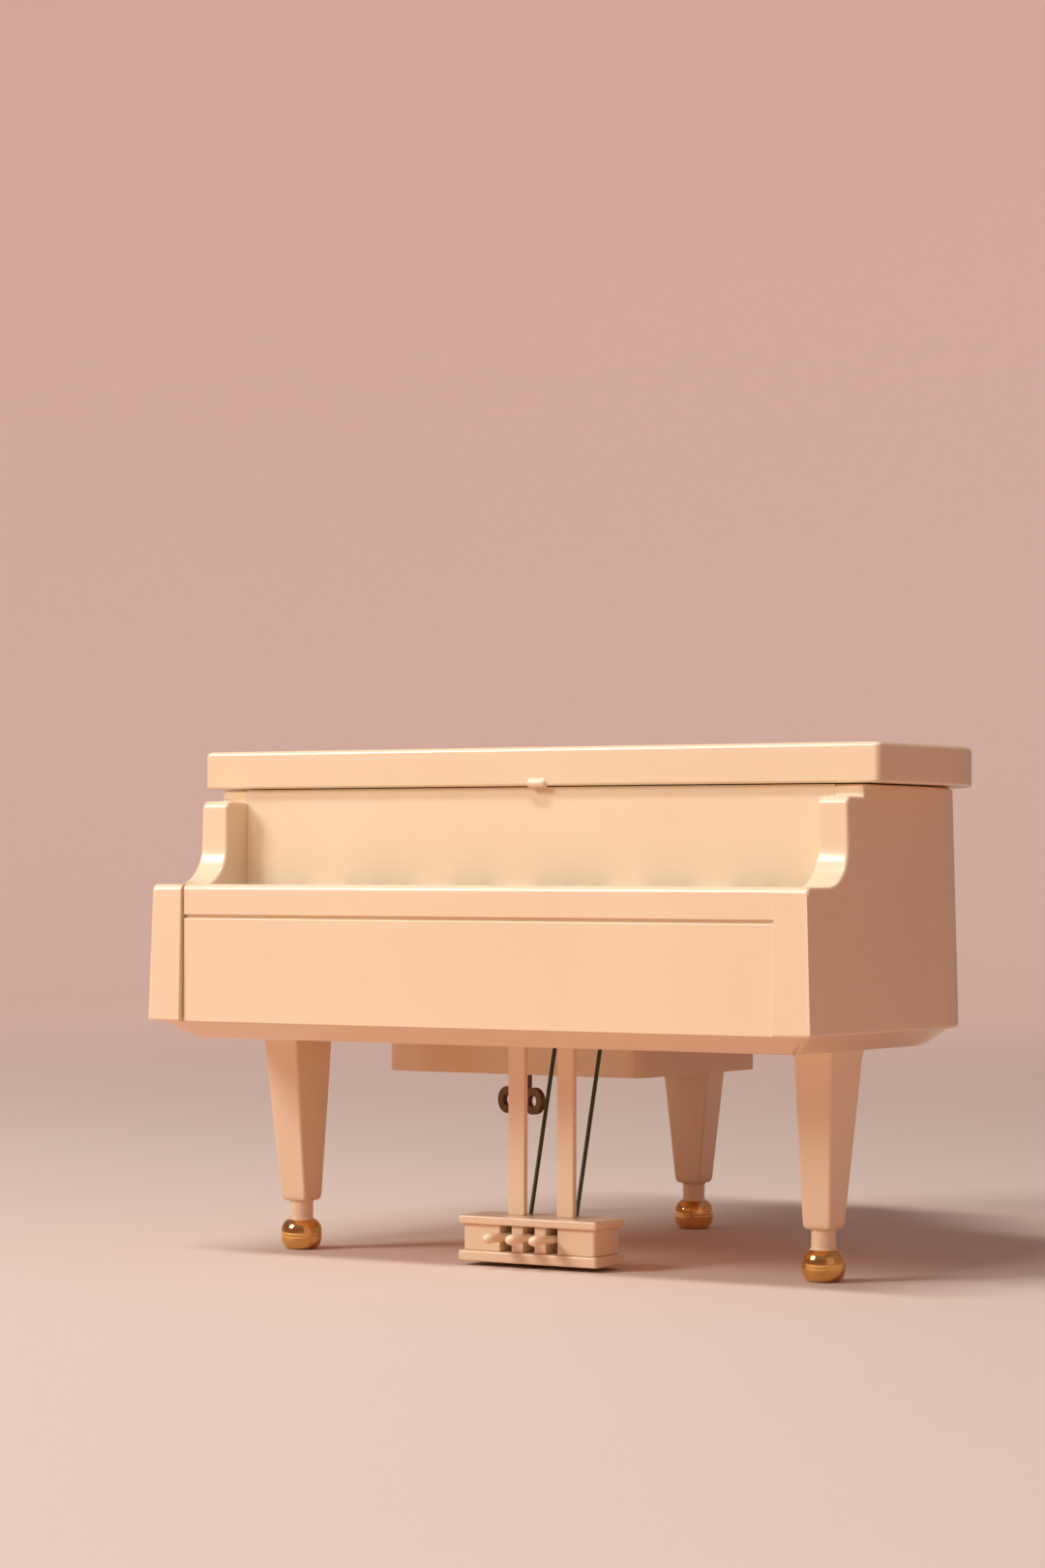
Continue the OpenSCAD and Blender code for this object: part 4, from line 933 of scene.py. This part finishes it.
class PIANO_OT_dancer(bpy.types.Operator):
    """Builds the dancer: limbs, torso, head, hair, bodice, shoes, skirt, spring and turntable"""

    bl_idname = "piano.dancer"
    bl_label = "Dancer"

    def execute(self, context):
        sizes = context.scene.piano_sizes
        cx, cy = DANCER
        z0 = TOE_Z
        at = np.array([cx, cy, z0])

        def limb(keys, n=24, m=18, **k):
            p = smooth_path(np.asarray(keys, float), n)
            return tube(p[:, :3] + at, p[:, 3], m, **k)

        legs = [
            limb([(0, 0, 0.4, 0.34), (0, 0, 1.6, 0.40), (0.02, 0.05, 4.6, 0.66),
                  (0.05, 0, 6.8, 0.58), (0.2, 0, 9.6, 0.88), (0.45, 0, 12.6, 1.02)], 40),
            limb([(0.5, 0, 12.6, 1.0), (2.2, -0.4, 11.0, 0.88), (4.1, -0.8, 9.3, 0.60),
                  (3.9, -0.8, 8.8, 0.58), (2.5, -0.7, 7.4, 0.56), (0.9, -0.55, 5.6, 0.3)], 40),
        ]
        arms = []
        for s in (-1, 1):
            arms.append(limb([(s * 1.35, 0, 19.35, 0.46), (s * 2.6, -0.2, 20.2, 0.42),
                              (s * 3.5, -0.45, 21.8, 0.36), (s * 3.3, -0.5, 23.4, 0.33),
                              (s * 2.4, -0.5, 25.0, 0.26), (s * 1.2, -0.5, 25.9, 0.2),
                              (s * 0.5, -0.5, 26.1, 0.13)], 44))
        head = head_surface(cx, cy - 0.05, z0 + 23.0)
        figure = sheet_mesh(
            "dancer_figure_piece", legs + arms + [torso_surface(cx, cy, z0), head],
            [(False, True)] * 6, caps=[(4, 0), (4, -1)])
        link(figure, "dancer")
        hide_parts("dancer_figure")
        dress(figure, finish_for("doll"))

        shoes = [
            limb([(0, 0, 0.16, 0.22), (0, -0.02, 0.8, 0.42), (0, 0.1, 2.0, 0.48)], 14),
            limb([(1.5, -0.62, 6.25, 0.42), (1.1, -0.6, 5.7, 0.42), (0.62, -0.55, 5.05, 0.2)], 14),
        ]
        ribbons = []
        for z in (2.5, 3.1):
            t = np.linspace(0, 2 * np.pi, 40)
            ring = np.column_stack([0.56 * np.cos(t), 0.05 + 0.56 * np.sin(t),
                                    z + 0.25 * np.sin(t)])
            ribbons.append(tube(ring + at, 0.07, 8))
        shoe = sheet_mesh("dancer_shoes", shoes + ribbons, [(False, True)] * 4)
        link(shoe, "dancer")
        dress(shoe, finish_for("shoe"))

        bodice = torso_surface(cx, cy, z0)
        keep = (bodice[:, 0, 2] > z0 + 13.0) & (bodice[:, 0, 2] < z0 + 19.0)
        bodice = bodice[keep].copy()
        mid = np.array([cx, cy])
        bodice[..., :2] = mid + (bodice[..., :2] - mid) * 1.07
        bod = sheet_mesh("dancer_bodice", [bodice], [(False, True)], caps=[(0, 0), (0, -1)])
        link(bod, "dancer")
        dress(bod, finish_for("bodice"))

        cap = head_surface(cx, cy + 0.16, z0 + 23.12)
        cap[..., :2] = mid + (cap[..., :2] - mid) * 1.06
        hairline = cy - 0.25 - 0.25 * (cap[..., 2] - z0 - 23.1)
        cap[..., 1] = np.maximum(cap[..., 1], hairline)
        bun = revolve([(0.001, -0.62), (0.4, -0.55), (0.66, -0.3), (0.74, 0.0), (0.66, 0.3),
                       (0.4, 0.52), (0.001, 0.6)], 0, 0, 28)
        bun = np.stack([bun[..., 0] + cx, cy + 1.45 + bun[..., 2], z0 + 24.0 + bun[..., 1]], 2)
        hair = sheet_mesh("dancer_hair", [cap, bun], [(False, True)] * 2)
        link(hair, "dancer")
        dress(hair, finish_for("hair"))

        eyes = []
        for s in (-1, 1):
            t = np.linspace(-1, 1, 12)
            brow = np.column_stack([s * 0.55 + 0.24 * t, -1.33 + 0.12 * t * t,
                                    23.16 - 0.06 * t * t])
            eyes.append(tube(brow + at, 0.045, 8))
        eye = sheet_mesh("dancer_eyes", eyes, [(False, True)] * 2)
        link(eye, "dancer")
        dress(eye, finish_for("eye"))
        t = np.linspace(-1, 1, 12)
        lip = np.column_stack([0.26 * t, -1.5 + 0.1 * t * t, 22.28 + 0.02 * t * t])
        lips = sheet_mesh("dancer_lips", [tube(lip + at, 0.06, 8)], [(False, True)])
        link(lips, "dancer")
        dress(lips, finish_for("lip"))

        layers = [skirt_surface(cx, cy, z0 + 14.0 - 0.32 * k, 1.35, SKIRT_R - 0.45 * k,
                                1.0 + 0.35 * k, sizes.pleats, 0.22, 1.3 * k)
                  for k in range(3)]
        for k, g in enumerate(layers):
            skirt = sheet_mesh(f"dancer_skirt_layer_{k + 1}", [g], [(False, True)],
                               outward=False, angle=80.0)
            self.lay_cloth(skirt.data, cx, cy)
            link(skirt, "dancer")
            if k == 0:
                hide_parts("dancer_skirt")
            dress(skirt, finish_for("tulle"))

        t = np.linspace(0, 1, int(28 * sizes.turns))
        a = 2 * np.pi * sizes.turns * t
        coil = np.column_stack([cx + 1.5 * np.cos(a), cy + 1.5 * np.sin(a),
                                SPRING_Z + 0.3 + 3.0 * t])
        spring = sheet_mesh("dancer_spring_piece", [tube(coil, 0.27, 12, 1.0, (0, 0, 1))],
                            [(False, True)])
        link(spring, "dancer")
        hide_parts("dancer_spring")
        dress(spring, finish_for("steel"))
        dress(soften("turntable", 0.18, 2), finish_for("gilt"))
        return {"FINISHED"}

    @staticmethod
    def lay_cloth(me, cx, cy):
        """Lays the net's own map: distance round the waist and distance down the skirt."""
        uv = me.uv_layers.new(name="cloth")
        co = np.empty(len(me.vertices) * 3)
        me.vertices.foreach_get("co", co)
        co = co.reshape(-1, 3) / MM
        loops = np.empty(len(me.loops), int)
        me.loops.foreach_get("vertex_index", loops)
        d = co[loops][:, :2] - np.array([cx, cy - MID_Y])
        ang = np.arctan2(d[:, 1], d[:, 0]) / (2 * np.pi)
        ang -= np.round(ang - np.repeat(ang.reshape(-1, 4)[:, :1], 4, 1).ravel())
        flat = np.column_stack([ang, np.linalg.norm(d, axis=1) / SKIRT_R])
        uv.data.foreach_set("uv", flat.ravel())

    @staticmethod
    def area(me):
        return float(sum(p.area for p in me.polygons))


class PIANO_OT_stage(bpy.types.Operator):
    """Sets the pale floor, the soft lamps and the camera"""

    bl_idname = "piano.stage"
    bl_label = "Stage"

    def execute(self, context):
        scene = context.scene
        scene.view_settings.view_transform = "Standard"
        tone = tuple(scene.piano_colours.floor) + (1.0,)
        floor = Finish("floor", IOR=1.4)
        patch = floor.noise(3.0, 3.0, 0.5).ramp(0.3, 0.7)
        seen = floor.node("ShaderNodeLightPath", {}, {}, "Is Camera Ray")
        worn = tuple(0.97 * c for c in tone[:3]) + (1.0,)
        pale = floor.mix(patch * 0.25, tone, worn)
        bounced = floor.node("ShaderNodeLightPath", {}, {}, "Is Diffuse Ray")
        floor.set(Base_Color=floor.mix(bounced, pale, rgb(220, 178, 158)),
                  Roughness=0.6 + 0.1 * patch)
        across, along = floor.axis("X"), floor.axis("Y")
        far = ((across * across + along * along) ** 0.5).ramp(0.2, 1.5)
        floor.set(Emission_Strength=0.33,
                  Emission_Color=floor.mix(far * seen, (0, 0, 0, 1), rgb(250, 203, 190)))
        flat, bend, top = 1500.0, 700.0, 1500.0
        profile = [(0.001, 0.0), (400.0, 0.0), (flat, 0.0)]
        profile += [(flat + bend * math.sin(a), bend * (1 - math.cos(a)))
                    for a in np.linspace(0.05, math.pi / 2, 24)]
        profile += [(flat + bend, top)]
        dish = sheet_mesh("floor", [revolve(profile, 0, MID_Y, 96)], [(False, True)],
                          outward=False)
        scene.collection.objects.link(dish)
        dish.data.materials.append(floor.mat)

        world = bpy.data.worlds.new("soft room")
        scene.world = world
        world.use_nodes = True
        back = world.node_tree.nodes["Background"]
        back.inputs["Color"].default_value = (1.0, 0.80, 0.82, 1.0)
        back.inputs["Strength"].default_value = 0.265
        for name, place, size, power, tint in (
                ("key lamp", (-0.75, -0.95, 0.8), (0.45, 0.45), 9.8, (1.0, 0.99, 0.97)),
                ("fill lamp", (1.1, -0.5, 0.5), (0.9, 0.9), 0.6, (1.0, 0.68, 0.95)),
                ("top lamp", (-0.12, -0.5, 1.15), (0.6, 0.14), 8.0, (1.0, 0.98, 0.95))):
            data = bpy.data.lights.new(name, "AREA")
            data.shape, data.size, data.size_y = "RECTANGLE", *size
            data.energy, data.color = power, tint
            lamp = bpy.data.objects.new(name, data)
            lamp.location = place
            aim = Vector((0, 0, 0.05)) - Vector(place)
            lamp.rotation_euler = aim.to_track_quat("-Z", "Y").to_euler()
            scene.collection.objects.link(lamp)

        data = bpy.data.cameras.new("camera")
        cam = bpy.data.objects.new("camera", data)
        data.sensor_width, data.lens = SENSOR, FOCAL_PX / PHOTO_PX * SENSOR
        data.clip_start, data.clip_end = 0.01, 20.0
        yaw, pitch, roll = (math.radians(a) for a in (CAMERA_YAW, CAMERA_PITCH, CAMERA_ROLL))
        ahead = Vector((-math.sin(yaw) * math.cos(pitch), math.cos(yaw) * math.cos(pitch),
                        math.sin(pitch)))
        right = Vector((math.cos(yaw), math.sin(yaw), 0.0))
        up = right.cross(ahead)
        right, up = (right * math.cos(roll) + up * math.sin(roll),
                     up * math.cos(roll) - right * math.sin(roll))
        turn = Matrix((right, up, -ahead)).transposed().to_4x4()
        turn.translation = Vector((CAMERA_X, CAMERA_Y - MID_Y * MM, CAMERA_Z))
        cam.matrix_world = turn
        scene.collection.objects.link(cam)
        scene.camera = cam
        return {"FINISHED"}


class PIANO_PT_panel(bpy.types.Panel):
    """Lists the steps that dress the box"""

    bl_idname = "PIANO_PT_panel"
    bl_label = "Piano Box"
    bl_space_type = "VIEW_3D"
    bl_region_type = "UI"
    bl_category = "Piano Box"

    def draw(self, context):
        column = self.layout.column()
        for name in STEPS:
            column.operator("piano." + name)
        for group in (context.scene.piano_sizes, context.scene.piano_colours):
            for key in group.__annotations__:
                column.prop(group, key)


STEPS = ("stage", "case", "keyboard", "lid", "hinges", "legs", "lyre", "housing", "movement",
         "lining", "dancer")
CLASSES = (PianoBoxSizes, PianoBoxColours, PIANO_OT_stage, PIANO_OT_case, PIANO_OT_keyboard,
           PIANO_OT_lid, PIANO_OT_hinges, PIANO_OT_legs, PIANO_OT_lyre, PIANO_OT_housing,
           PIANO_OT_movement, PIANO_OT_lining, PIANO_OT_dancer, PIANO_PT_panel)


def register():
    for cls in CLASSES:
        bpy.utils.register_class(cls)
    bpy.types.Scene.piano_sizes = PointerProperty(type=PianoBoxSizes)
    bpy.types.Scene.piano_colours = PointerProperty(type=PianoBoxColours)


def unregister():
    del bpy.types.Scene.piano_colours
    del bpy.types.Scene.piano_sizes
    for cls in reversed(CLASSES):
        bpy.utils.unregister_class(cls)


def main():
    register()
    for name in STEPS:
        getattr(bpy.ops.piano, name)()
    bpy.context.view_layer.update()


if __name__ == "__main__":
    main()
